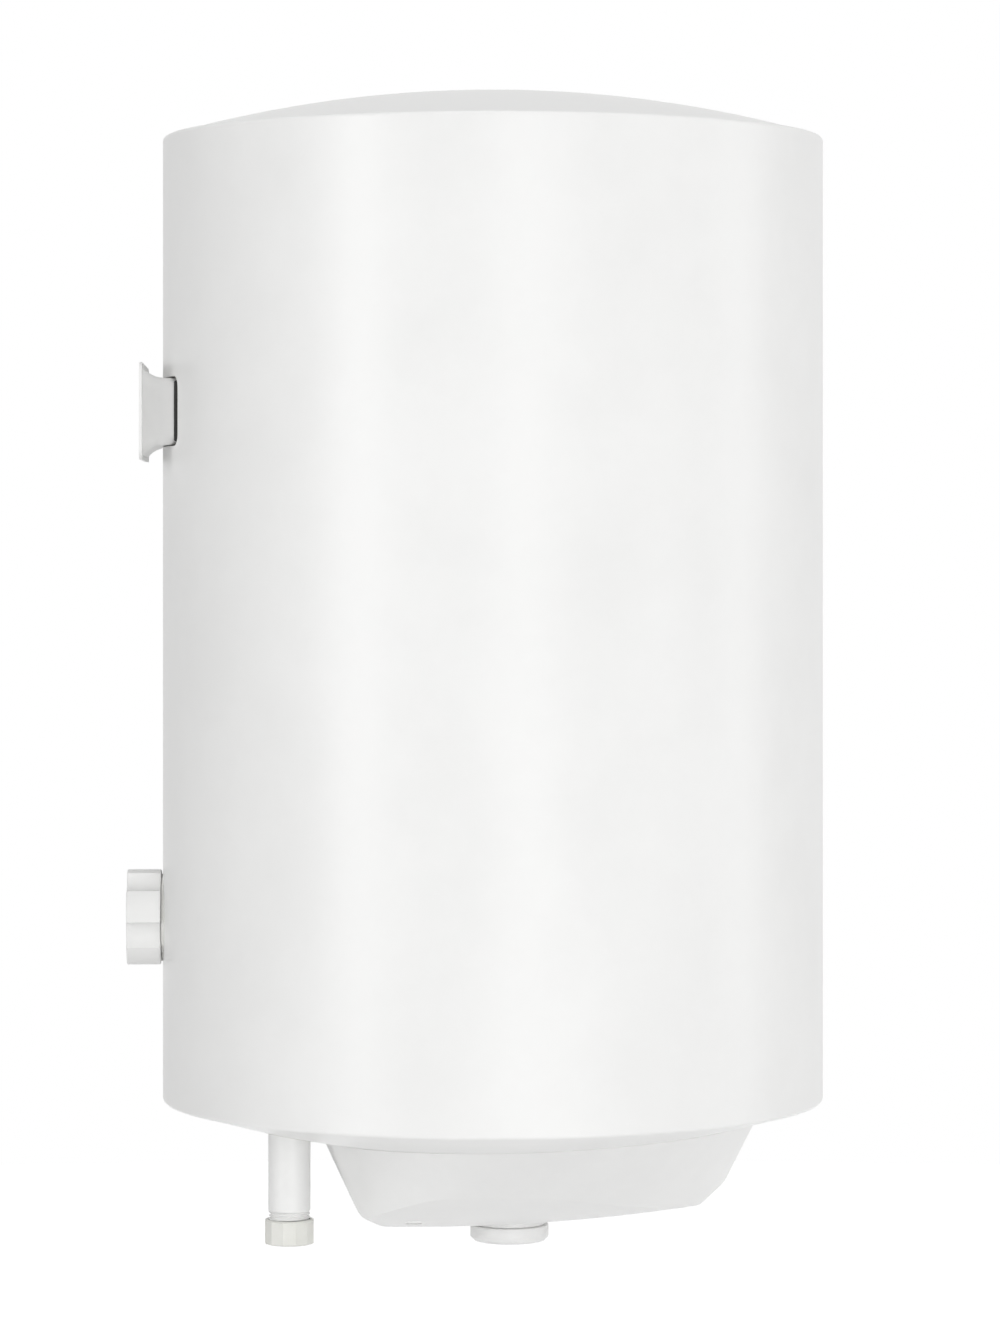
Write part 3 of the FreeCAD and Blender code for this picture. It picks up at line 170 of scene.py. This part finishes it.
# ---------------------------------------------------------------- heating element and anode
# A hairpin and a thermostat pocket of smooth drawn copper are brazed in the flange, with turned
# brass terminals. A rough cast magnesium rod, held by a stud and nut, corrodes in the tank's place.
drawn_copper = finish_material(
    "drawn_copper", "#C98A66", "#A8674A", 7.0, 0.32, 0.4, 0.006, metallic=1.0
)
turned_brass = finish_material(
    "turned_brass", "#CDB06A", "#B4954F", 3.0, 0.28, 0.3, 0.006, metallic=1.0
)
cast_magnesium = finish_material(
    "cast_magnesium", "#B4B4B6", "#8F8F92", 3.5, 0.55, 0.9, 0.06, metallic=1.0
)
coat(drawn_copper, "heating_element", "thermostat_pocket")
coat(turned_brass, "element_terminals", "thermostat_probe", "terminal_screws", "earth_screw")
coat(turned_brass, "thermostat_spindle")
coat(cast_magnesium, "anode_rod")
coat(zinc_plate, "anode_stud", "anode_nut")

# ---------------------------------------------------------------- insulation
# Rigid polyurethane foam, poured between tank and casing, where it sets and holds both. It is
# straw-coloured and dull, with fine closed cells.
rigid_foam = finish_material("rigid_foam", "#EBDDB0", "#D9C68E", 5.0, 0.85, 1.2, 0.25)
coat(rigid_foam, "foam_insulation")

# ---------------------------------------------------------------- casing and end caps
# Sheet steel with a baked white enamel: smooth, softly glossy, with the faint orange peel that
# sprayed enamel has and the slight waves that the rollers leave down the sheet.
baked_enamel = finish_material(
    "baked_white_enamel", "#F2F2F1", "#EFEFEE", 60.0, 0.36, 2.2, 0.004
)
coat(baked_enamel, "outer_casing", "top_end_cap", "bottom_end_cap")

# ---------------------------------------------------------------- water pipes
# Half-inch steel pipes, coated white over a rolled G 1/2 thread, with white rubber seals where
# they leave the bottom cap. The thread is one ridge that winds round the pipe's thinned end.
pipe_radius = 0.01065
pipe_bore = 0.008
thread_root, thread_crest = 0.00932, 0.01046
thread_pitch = 0.001814
thread_flat = 0.0002
thread_length = 0.014
thread_run_out = 0.0012
ridge_foot = 0.49  # half the ridge's foot as a share of the pitch, so that its turns don't touch
lip = 0.0005


def take_up(*pieces):
    """Selects these pieces alone, and makes the first one active."""
    bpy.ops.object.select_all(action="DESELECT")
    for piece in pieces:
        piece.select_set(True)
    bpy.context.view_layer.objects.active = pieces[0]


def fresh_piece(name):
    """The object that was just added, named, alone in the selection and placed in its mesh."""
    piece = bpy.context.object
    piece.name = name
    take_up(piece)
    bpy.ops.object.transform_apply(location=True, rotation=True, scale=True)
    return piece


def work_with(piece, kind, **settings):
    """Shapes a piece with a modifier, and applies it."""
    take_up(piece)
    modifier = piece.modifiers.new(kind.lower(), kind)
    for name, setting in settings.items():
        setattr(modifier, name, setting)
    bpy.ops.object.modifier_apply(modifier=modifier.name)


def turned_piece(name, profile, x, y, sides=64):
    """A ring extruded and resized through (radius, height) points: a tube closed on itself, or a
    solid with flat ends when the profile's two ends differ."""
    (radius, height), *rest = profile
    bpy.ops.mesh.primitive_circle_add(vertices=sides, radius=radius, location=(x, y, height))
    piece = fresh_piece(name)
    closed = profile[0] == profile[-1]
    bpy.ops.object.mode_set(mode="EDIT")
    bpy.ops.mesh.select_all(action="SELECT")
    if not closed:
        bpy.ops.mesh.edge_face_add()
        bpy.ops.mesh.select_all(action="SELECT")
    for next_radius, next_height in rest:
        move = {"value": (0.0, 0.0, next_height - height)}
        if closed:
            bpy.ops.mesh.extrude_edges_move(TRANSFORM_OT_translate=move)
        else:
            bpy.ops.mesh.extrude_region_move(TRANSFORM_OT_translate=move)
        share = next_radius / radius
        bpy.ops.transform.resize(value=(share, share, 1.0), center_override=(x, y, next_height))
        radius, height = next_radius, next_height
    bpy.ops.mesh.select_all(action="SELECT")
    bpy.ops.mesh.remove_doubles(threshold=1e-7)
    bpy.ops.mesh.normals_make_consistent(inside=False)
    bpy.ops.object.mode_set(mode="OBJECT")
    return piece


def thread_ridge(name, root, crest, pitch, flat, turns, steps=48):
    """A thread's ridge, wound about the Z axis from the origin up: flat is its crest's width."""
    bpy.ops.mesh.primitive_circle_add(vertices=4, radius=1.0, fill_type="NOTHING")
    piece = fresh_piece(name)
    foot = pitch * ridge_foot
    corners = [(root, -foot), (crest, -flat / 2), (crest, flat / 2), (root, foot)]
    for point, (radius, height) in zip(piece.data.vertices, corners):
        point.co = (radius, 0.0, height)
    work_with(
        piece,
        "SCREW",
        axis="Z",
        angle=math.tau,
        screw_offset=pitch,
        iterations=turns,
        steps=steps,
        render_steps=steps,
    )
    bpy.ops.object.mode_set(mode="EDIT")
    bpy.ops.mesh.select_all(action="SELECT")
    bpy.ops.mesh.fill_holes(sides=4)
    bpy.ops.mesh.normals_make_consistent(inside=False)
    bpy.ops.object.mode_set(mode="OBJECT")
    return piece


def cut_flush(piece, height, above):
    """Cuts off what stands above, or below, a height, and closes the cut."""
    take_up(piece)
    bpy.ops.object.mode_set(mode="EDIT")
    bpy.ops.mesh.select_all(action="SELECT")
    bpy.ops.mesh.bisect(
        plane_co=(0.0, 0.0, height),
        plane_no=(0.0, 0.0, 1.0),
        use_fill=True,
        clear_outer=above,
        clear_inner=not above,
    )
    bpy.ops.object.mode_set(mode="OBJECT")


def join_pieces(pieces):
    """Joins pieces into the first one."""
    take_up(*pieces)
    bpy.ops.object.join()
    return pieces[0]


def fit_piece(piece, body, slot, material, *nodes, smooth=35.0):
    """Gives a finished piece its material and body, and hides the CAD nodes that it stands for. The
    slot is not used.
    """
    take_up(piece)
    bpy.ops.object.shade_smooth_by_angle(angle=math.radians(smooth))
    piece.data.materials.clear()
    piece.data.materials.append(material)
    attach(piece, body)
    if nodes:
        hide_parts(*nodes)


pipe_coat = finish_material("white_pipe_coat", "#F0F0EF", "#EBEBEA", 25.0, 0.42, 1.5, 0.004)
for side in ("hot_outlet_pipe", "cold_inlet_pipe"):
    pipe_low, pipe_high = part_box(side)
    centre = (pipe_low + pipe_high) / 2
    thread_top = pipe_low.z + thread_length
    pipe = turned_piece(
        f"{side}_threaded",
        [
            (pipe_bore, pipe_low.z + lip),
            (pipe_bore + lip, pipe_low.z),
            (thread_root - lip, pipe_low.z),
            (thread_root, pipe_low.z + lip),
            (thread_root, thread_top - thread_run_out),
            (pipe_radius, thread_top),
            (pipe_radius, pipe_high.z),
            (pipe_bore, pipe_high.z),
            (pipe_bore, pipe_low.z + lip),
        ],
        centre.x,
        centre.y,
    )
    turns = math.ceil(thread_length / thread_pitch)
    thread = thread_ridge(
        f"{side}_thread", thread_root - lip / 2, thread_crest, thread_pitch, thread_flat, turns
    )
    thread.data.transform(Matrix.Translation((centre.x, centre.y, pipe_low.z)))
    cut_flush(thread, pipe_low.z + lip / 2, above=False)
    cut_flush(thread, thread_top - thread_run_out / 2, above=True)
    join_pieces([pipe, thread])
    fit_piece(pipe, "heater", "pipe_steel", pipe_coat, side)

natural_plastic = finish_material(
    "natural_polypropylene", "#D9D9D2", "#CECEC5", 8.0, 0.5, 1.0, 0.01
)
white_rubber = finish_material("white_rubber", "#E2E2DF", "#D8D8D4", 5.0, 0.6, 0.8, 0.02)
coat(natural_plastic, "hot_riser", "inlet_diffuser", "spacer_nut", "terminal_block")
coat(white_rubber, "pipe_seals", "cable_grommet")

# ---------------------------------------------------------------- wall bracket
# A drawn steel trunk, flared on to a keyhole plate and powder-coated white. A black strip in the
# casing's window, on each side of the trunk, is painted shade for the dark gap between trunk and
# window.
powder_coat = finish_material("white_powder_coat", "#EEEEED", "#EBEBEA", 14.0, 0.46, 0.9, 0.006)
coat(powder_coat, "bracket_plate", "bracket_trunk")
trunk_low, trunk_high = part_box("bracket_trunk")
trunk_half, strip_wide, strip_deep, strip_tall = 0.046, 0.0024, 0.0062, 0.0308
strip_outer = 0.1632
strip_round = strip_wide * 0.4
strips = []
# each strip is painted shade: black rubber set where the gap beside the trunk falls dark
for side in (-1, 1):
    bpy.ops.mesh.primitive_cube_add(
        size=1.0,
        location=(
            tank_axis.x + side * (trunk_half + strip_wide / 2),
            tank_axis.y + strip_outer - strip_deep / 2,
            (trunk_low.z + trunk_high.z) / 2,
        ),
    )
    bpy.context.object.scale = (strip_wide, strip_deep, strip_tall)
    strip = fresh_piece("trunk_gap_shade_strips")
    work_with(strip, "BEVEL", width=strip_round, segments=3)
    strips.append(strip)
join_pieces(strips)
fit_piece(strips[0], "heater", "rubber", black_rubber)

# ---------------------------------------------------------------- wall spacer
# A scalloped plastic puck on a threaded stem, screwed out by hand until the heater hangs upright.
# A white rubber pad behind it, hollowed to the casing's round, keeps it from scratching the enamel.
spacer_plastic = finish_material("white_polyamide", "#EEEEED", "#EAEAE9", 22.0, 0.5, 0.7, 0.004)
coat(spacer_plastic, "wall_spacer")
stem_low, stem_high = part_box("spacer_stem")
stem_radius = (stem_high.x - stem_low.x) / 2
stem_pitch, stem_flat = 0.004, 0.0011
stem_root = stem_radius - 0.0009
stem_length = stem_high.y - stem_low.y
stem = turned_piece(
    "threaded_stem",
    [
        (stem_root - lip, 0.0),
        (stem_root, lip),
        (stem_root, stem_length - lip),
        (stem_root - lip, stem_length),
    ],
    0.0,
    0.0,
)
turns = math.ceil(stem_length / stem_pitch) + 1
thread = thread_ridge(
    "stem_thread", stem_root - lip / 2, stem_radius, stem_pitch, stem_flat, turns
)
cut_flush(thread, lip, above=False)
cut_flush(thread, stem_length - lip, above=True)
join_pieces([stem, thread])
stem_middle = (stem_low + stem_high) / 2
to_wall = Matrix.Rotation(-math.pi / 2, 4, "X")
stem.data.transform(
    Matrix.Translation((stem_middle.x, stem_low.y, stem_middle.z)) @ to_wall
)
fit_piece(stem, "spacer_screw", "spacer_plastic", spacer_plastic, "spacer_stem")

pad_radius, pad_bore, pad_proud, pad_seat = 0.0225, 0.0072, 0.0004, 0.003
pad = turned_piece(
    "spacer_pad",
    [
        (pad_bore, 0.0),
        (pad_radius, 0.0),
        (pad_radius, pad_seat + pad_proud - lip / 2),
        (pad_radius - lip / 2, pad_seat + pad_proud),
        (pad_bore, pad_seat + pad_proud),
        (pad_bore, 0.0),
    ],
    0.0,
    0.0,
)
seat_y = tank_axis.y + casing_radius - pad_seat
pad.data.transform(Matrix.Translation((stem_middle.x, seat_y, stem_middle.z)) @ to_wall)
for point in pad.data.vertices:
    if point.co.y < seat_y + lip:
        across = point.co.x - tank_axis.x
        point.co.y = tank_axis.y + math.sqrt(casing_radius**2 - across**2)
fit_piece(pad, "heater", "white_rubber", white_rubber)

# ---------------------------------------------------------------- thermostat
# A closed block moulded in black phenolic, hard and slightly glossy. It sits under the flange, its
# brass probe goes up into the pocket, and a red button resets its thermal cut-out.
black_phenolic = finish_material("black_phenolic", "#1E1E1E", "#141414", 3.0, 0.4, 0.8, 0.01)
red_plastic = finish_material("red_plastic", "#C0241C", "#A81B15", 2.0, 0.35, 0.5, 0.005)
coat(black_phenolic, "thermostat_body", "power_lamp")
coat(red_plastic, "reset_button")

# ---------------------------------------------------------------- bottom cover
# A deep bowl moulded in white ABS with a fine spark-eroded grain, held up by three screws. Its
# walls lean in from the bottom cap, round over, and end at a crisp edge on its crowned bottom.
white_abs = finish_material("white_abs", "#F1F1F0", "#EEEEED", 40.0, 0.4, 0.6, 0.003)
coat(zinc_plate, "cover_posts")
cover_wall, cover_joint = 0.0022, 0.0002
# each outline: slope, level, rear, front, half the width, rear corner, start of the round front
cover_top = (0.0, -0.008, 0.0924, 0.1368, 0.123, 0.110, -0.020)
cover_edge = (-0.06, -0.0504, 0.0695, 0.120, 0.071, 0.030, -0.010)
cover_foot = (0.0, -0.070, 0.0447, 0.090, 0.045, 0.024, -0.010)
cover_bend = 0.09
crown_low, crown_middle, crown_long, crown_cross = -0.065, 0.036, 0.980, 0.158
dish_radius, dish_depth = 0.55577, 0.0255
control_y, spindle_hole = -0.0085, 0.005
grommet_y, grommet_hole = 0.040, 0.0077
lamp_x, lens_hole = 0.034, 0.0036
ring_steps = 100  # rings on each of the walls' three stretches, to find where the walls end
rear_steps, corner_steps, side_steps, front_steps = 6, 22, 8, 48
wall_rows, crown_rows = 26, 14


def between(first, second, share):
    """What lies at a share of the way from one list of numbers to another."""
    return [a + (b - a) * share for a, b in zip(first, second)]


def half_outline(slope, level, rear, front, half, corner, belly):
    """One side of an outline: half the straight rear, a corner, a straight side, half the front."""
    points = [((half - corner) * step / rear_steps, rear) for step in range(rear_steps)]
    for step in range(corner_steps):
        turn = math.pi / 2 * (1 - step / corner_steps)
        points.append((half - corner * (1 - math.cos(turn)), rear - corner * (1 - math.sin(turn))))
    for step in range(side_steps):
        points.append((half, rear - corner + (belly - rear + corner) * step / side_steps))
    for step in range(front_steps + 1):
        turn = math.pi / 2 * step / front_steps
        points.append((half * math.cos(turn), belly - (front + belly) * math.sin(turn)))
    return [Vector((x, y, level + slope * y)) for x, y in points]


def bowl_ring(share):
    """Half a ring of the walls: shares 0 to 1 are straight, 1 to 2 bent and 2 to 3 straight."""
    over = between(cover_edge, cover_top, cover_bend)
    under = between(cover_edge, cover_foot, cover_bend)
    if share <= 1:
        return half_outline(*between(cover_top, over, share))
    if share <= 2:
        turn = share - 1
        above, below = between(over, cover_edge, turn), between(cover_edge, under, turn)
        return half_outline(*between(above, below, turn))
    return half_outline(*between(under, cover_foot, share - 2))


def on_crown(x, y):
    """Height of the crowned bottom beside the tank's axis: bent more across than along."""
    reach = crown_long - crown_cross + math.sqrt(crown_cross**2 - x**2)
    return crown_low + crown_long - math.sqrt(reach**2 - (y - crown_middle) ** 2)


def share_at(rings, column, distance):
    """The share of the walls at which a column of points gets to a surface."""
    before, gap = None, None
    for share, ring in rings:
        miss = distance(ring[column])
        if before is not None and miss <= 0:
            return before + (share - before) * (gap / (gap - miss))
        before, gap = share, miss


shares = [step / ring_steps for step in range(3 * ring_steps + 1)]
rings = [(share, bowl_ring(share)) for share in shares]
dish_centre = Vector((0.0, 0.0, dish_radius - dish_depth))
half_columns = []
for column in range(len(rings[0][1])):
    above = share_at(rings, column, lambda p: dish_radius + cover_joint - (p - dish_centre).length)
    below = share_at(rings[::-1], column, lambda p: on_crown(p.x, p.y) - p.z)
    wall = []
    for row in range(wall_rows + 1):
        wall.append(bowl_ring(above + (below - above) * row / wall_rows)[column])
    spindle = Vector((0.0, control_y, 0.0))
    reach = wall[-1] - spindle
    reach.z = 0.0
    hole = spindle + reach.normalized() * spindle_hole
    for row in range(1, crown_rows + 1):
        point = wall[wall_rows].lerp(hole, row / crown_rows)
        point.z = on_crown(point.x, point.y)
        wall.append(point)
    half_columns.append(wall)
mirrored = [[Vector((-p.x, p.y, p.z)) for p in wall] for wall in half_columns[-2:0:-1]]
columns = half_columns + mirrored
bpy.ops.mesh.primitive_grid_add(
    x_subdivisions=len(columns), y_subdivisions=wall_rows + crown_rows, size=1.0
)
cover = fresh_piece("bottom_cover_moulded")
rim_middle = Vector((tank_axis.x, tank_axis.y, casing_low.z))
edge_points = set()
for point in cover.data.vertices:
    column = round((point.co.x + 0.5) * len(columns))
    row = round((point.co.y + 0.5) * (wall_rows + crown_rows))
    point.co = columns[column % len(columns)][row] + rim_middle
    if row == wall_rows:
        edge_points.add(point.index)
for edge in cover.data.edges:
    edge.use_edge_sharp = edge_points.issuperset(edge.vertices)
bpy.ops.object.mode_set(mode="EDIT")
bpy.ops.mesh.select_all(action="SELECT")
bpy.ops.mesh.remove_doubles(threshold=1e-6)
bpy.ops.mesh.normals_make_consistent(inside=False)
bpy.ops.object.mode_set(mode="OBJECT")
work_with(cover, "SOLIDIFY", thickness=cover_wall, offset=-1.0, use_even_offset=False)

screw_places = [(-0.046, 0.042), (0.046, 0.042), (0.0, -0.084)]
boss_radius, head_room, shank_room = 0.007, 0.0041, 0.0022
screw_sink, boss_depth, boss_floor = 0.0015, 0.0016, 0.003
hole_sides, drill_length = 48, 0.02
drills = []
for radius, x, y in (
    (grommet_hole, 0.0, grommet_y),
    (lens_hole, lamp_x, control_y),
    *((head_room, *spot) for spot in screw_places),
):
    bpy.ops.mesh.primitive_cylinder_add(
        vertices=hole_sides,
        radius=radius,
        depth=drill_length,
        location=rim_middle + Vector((x, y, on_crown(x, y))),
    )
    drills.append(fresh_piece("drill"))
drill = join_pieces(drills)
work_with(cover, "BOOLEAN", operation="DIFFERENCE", object=drill)
bpy.data.objects.remove(drill)

moulded = [cover]
for x, y in screw_places:
    root = rim_middle.z + on_crown(x, y) + screw_sink
    seat, top = root + boss_depth, root + boss_depth + boss_floor
    profile = [
        (shank_room, seat),
        (head_room, seat),
        (head_room, root),
        (boss_radius, root),
        (boss_radius, top),
        (shank_room, top),
        (shank_room, seat),
    ]
    boss = turned_piece(
        "cover_boss", profile, rim_middle.x + x, rim_middle.y + y, sides=hole_sides
    )
    moulded.append(boss)
# a low collar round the spindle closes the gap between the knob and the crown
collar_radius, collar_foot = 0.0187, -0.06515
collar = [
    (spindle_hole, rim_middle.z + collar_foot),
    (collar_radius - lip, rim_middle.z + collar_foot),
    (collar_radius, rim_middle.z + collar_foot + lip),
    (collar_radius, rim_middle.z + crown_low + cover_wall),
    (spindle_hole, rim_middle.z + crown_low + cover_wall),
    (spindle_hole, rim_middle.z + collar_foot),
]
moulded.append(turned_piece("knob_collar", collar, rim_middle.x, rim_middle.y + control_y))
join_pieces(moulded)
fit_piece(cover, "heater", "cover_plastic", white_abs, "bottom_cover", smooth=30.0)

# ---------------------------------------------------------------- cover screws
# Three zinc-plated steel screws with pan heads and a cross recess. Their heads are sunk in the
# cover's bosses, and they draw the cover up to the three posts on the bottom cap.
screw_head, screw_shank = 0.0038, 0.0019
screw_head_height, screw_length = 0.0016, 0.012
recess_width, recess_reach, recess_depth = 0.0009, 0.0021, 0.0010
screw_reach = 0.01  # a point of the CAD's screws this near to a screw's axis belongs to it
screw_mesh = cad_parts["cover_screws"].data
screws_low, screws_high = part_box("cover_screws")
rear_y = screws_high.y - screw_head
screws = []
for x, y in (
    (screws_low.x + screw_head, rear_y),
    (screws_high.x - screw_head, rear_y),
    (tank_axis.x, screws_low.y + screw_head),
):
    low = min(
        point.co.z
        for point in screw_mesh.vertices
        if math.hypot(point.co.x - x, point.co.y - y) < screw_reach
    )
    screw = turned_piece(
        "cover_screw",
        [
            (screw_head * 0.45, low),
            (screw_head * 0.8, low + screw_head_height * 0.18),
            (screw_head, low + screw_head_height * 0.55),
            (screw_head, low + screw_head_height),
            (screw_shank, low + screw_head_height),
            (screw_shank, low + screw_head_height + screw_length - screw_shank),
            (screw_shank * 0.2, low + screw_head_height + screw_length),
        ],
        x,
        y,
        sides=32,
    )
    arms = []
    for length, width in ((recess_reach, recess_width), (recess_width, recess_reach)):
        bpy.ops.mesh.primitive_cube_add(size=1.0, location=(x, y, low))
        bpy.context.object.scale = (length * 2, width * 2, recess_depth * 2)
        arms.append(fresh_piece("recess_arm"))
    cutter = join_pieces(arms)
    work_with(screw, "BOOLEAN", operation="DIFFERENCE", object=cutter, use_self=True)
    bpy.data.objects.remove(cutter)
    screws.append(screw)
join_pieces(screws)
fit_piece(screws[0], "heater", "zinc_steel", zinc_plate, "cover_screws")

# ---------------------------------------------------------------- temperature knob
# A shallow cap moulded in the cover's white ABS, smooth round its wall, with a raised pointer on
# its sunken face. It is pressed on to the thermostat's spindle.
knob_low, knob_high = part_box("temperature_knob")
knob_middle = (knob_low + knob_high) / 2
knob_radius = (knob_high.x - knob_low.x) / 2
knob_face, knob_bore = knob_radius * 0.7, 0.003
knob_chamfer, knob_round = 0.0018, 0.0005
knob_dish = 0.0006
knob = turned_piece(
    "temperature_knob_moulded",
    [
        (knob_bore, knob_low.z + knob_dish),
        (knob_face, knob_low.z + knob_dish),
        (knob_face + knob_dish, knob_low.z),
        (knob_radius - knob_chamfer - knob_round, knob_low.z),
        (knob_radius - knob_chamfer, knob_low.z + knob_round * 0.4),
        (knob_radius - knob_round * 0.4, knob_low.z + knob_chamfer),
        (knob_radius, knob_low.z + knob_chamfer + knob_round),
        (knob_radius, knob_high.z - knob_round),
        (knob_radius - knob_round * 0.3, knob_high.z - knob_round * 0.3),
        (knob_radius - knob_round, knob_high.z),
        (knob_bore, knob_high.z),
    ],
    knob_middle.x,
    knob_middle.y,
    sides=96,
)
pointer_length, pointer_width = knob_radius * 0.66, 0.0032
pointer_height = knob_dish * 1.5
bpy.ops.mesh.primitive_cube_add(
    size=1.0,
    location=(
        knob_middle.x,
        knob_middle.y - pointer_length / 2,
        knob_low.z + pointer_height / 2,
    ),
)
bpy.context.object.scale = (pointer_width, pointer_length, pointer_height)
pointer = fresh_piece("knob_pointer")
work_with(pointer, "BEVEL", width=knob_dish * 0.4, segments=2)
join_pieces([knob, pointer])
fit_piece(knob, "knob", "knob_plastic", white_abs, "temperature_knob")

# ---------------------------------------------------------------- power lamp
# A lens moulded in glossy red plastic, clipped in the cover under a black lamp holder. It shows
# that the element is on.
lamp_lens = finish_material("red_lens", "#E0341E", "#C92A18", 1.5, 0.12, 0.6, 0.01)
coat(lamp_lens, "lamp_lens")

# ---------------------------------------------------------------- thread cap
# A twelve-sided cap moulded in thin off-white polyethylene, waxy and a little yellow. It is pushed
# on the hot pipe to keep its thread clean until the pipe is plumbed in.
polyethylene = finish_material(
    "off_white_polyethylene", "#E6E6E1", "#E1E1DB", 12.0, 0.45, 0.8, 0.003
)
cap_low, cap_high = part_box("hot_thread_cap")
cap_middle = (cap_low + cap_high) / 2
cap_radius = (cap_high.x - cap_low.x) / 2
cap_floor, cap_bore, cap_gate = 0.0026, 0.01085, 0.002
cap_chamfer, cap_sides = 0.0007, 12
thread_cap = turned_piece(
    "hot_thread_cap_moulded",
    [
        (cap_gate, cap_low.z),
        (cap_radius - cap_chamfer, cap_low.z),
        (cap_radius, cap_low.z + cap_chamfer),
        (cap_radius, cap_high.z - cap_chamfer),
        (cap_radius - cap_chamfer, cap_high.z),
        (cap_bore, cap_high.z),
        (cap_bore, cap_low.z + cap_floor),
        (cap_gate, cap_low.z + cap_floor),
    ],
    cap_middle.x,
    cap_middle.y,
    sides=cap_sides,
)
half_facet = Matrix.Rotation(math.pi / cap_sides, 4, "Z")
thread_cap.data.transform(
    Matrix.Translation(cap_middle) @ half_facet @ Matrix.Translation(-cap_middle)
)
fit_piece(thread_cap, "hot_cap", "thread_cap_plastic", polyethylene, "hot_thread_cap", smooth=20.0)

# ---------------------------------------------------------------- floor, lamps and view
# A plain pale floor a metre below the heater, in a white room. It glows only to the eye, in mirrors
# and through glass, so it looks pale without throwing light of its own on dull surfaces.
floor_drop, floor_radius = 1.0, 7.0
floor_glow, room_fill = 0.8, 0.25
bpy.ops.mesh.primitive_circle_add(
    vertices=128,
    radius=floor_radius,
    fill_type="NGON",
    location=(tank_axis.x, tank_axis.y, casing_low.z - floor_drop),
)
floor = bpy.context.object
floor.name = "floor"


def seen_share(tree):
    """1 for rays that look straight, by a mirror or through glass, and 0 for the rest."""
    path = add_node(tree, "ShaderNodeLightPath").outputs
    either = add_node(
        tree,
        "ShaderNodeMath",
        links={0: path["Is Camera Ray"], 1: path["Is Glossy Ray"]},
        operation="MAXIMUM",
    )
    every = add_node(
        tree,
        "ShaderNodeMath",
        links={0: either.outputs[0], 1: path["Is Transmission Ray"]},
        operation="MAXIMUM",
    )
    return every.outputs[0]


floor_paint = bpy.data.materials.new("floor_paint")
floor_paint.use_nodes = True
tree = floor_paint.node_tree
shader = tree.nodes["Principled BSDF"]
shader.inputs["Base Color"].default_value = linear("#F0F0F0")
shader.inputs["Roughness"].default_value = 0.9
shader.inputs["Emission Color"].default_value = linear("#FFFFFF")
lift = add_node(
    tree, "ShaderNodeMath", {1: floor_glow}, {0: seen_share(tree)}, operation="MULTIPLY"
)
tree.links.new(lift.outputs[0], shader.inputs["Emission Strength"])
floor.data.materials.append(floor_paint)

world = bpy.data.worlds.new("studio")
world.use_nodes = True
bpy.context.scene.world = world
tree = world.node_tree
fill = tree.nodes["Background"]
fill.inputs["Color"].default_value = linear("#FFFFFF")
fill.inputs["Strength"].default_value = room_fill
backdrop = add_node(tree, "ShaderNodeBackground", {"Color": linear("#FFFFFF"), "Strength": 1.0})
both = add_node(
    tree,
    "ShaderNodeMixShader",
    links={0: seen_share(tree), 1: fill.outputs[0], 2: backdrop.outputs[0]},
)
tree.links.new(both.outputs[0], tree.nodes["World Output"].inputs["Surface"])

# soft rectangular lamps that point at the casing: azimuth 0 is on the camera's side and positive
# is towards the front, then height, distance, width, length and power
lamps = {
    "rear_softbox": (-48.0, 0.4, 2.6, 0.8, 2.2, 23.5),
    "middle_softbox": (8.0, 0.4, 2.6, 0.8, 2.2, 14.5),
    "front_softbox": (58.0, 0.4, 2.6, 0.8, 2.2, 8.5),
    "side_softbox": (88.0, 0.4, 2.6, 0.8, 2.2, 15.0),
    "top_softbox": (10.0, 2.6, 0.6, 1.6, 1.6, 18.5),
    "low_softbox": (15.0, -0.95, 2.4, 2.0, 0.5, 8.5),
}
for name, (azimuth, height, distance, width, tall, power) in lamps.items():
    lamp = bpy.data.lights.new(name, "AREA")
    lamp.shape = "RECTANGLE"
    lamp.size, lamp.size_y = width, tall
    lamp.energy = power
    turn = math.radians(azimuth)
    reach = Vector((-distance * math.cos(turn), -distance * math.sin(turn), height))
    rig = bpy.data.objects.new(name, lamp)
    rig.location = tank_axis + reach
    rig.rotation_euler = (-reach).to_track_quat("-Z", "Y").to_euler()
    bpy.context.scene.collection.objects.link(rig)

bpy.context.scene.view_settings.view_transform = "Standard"
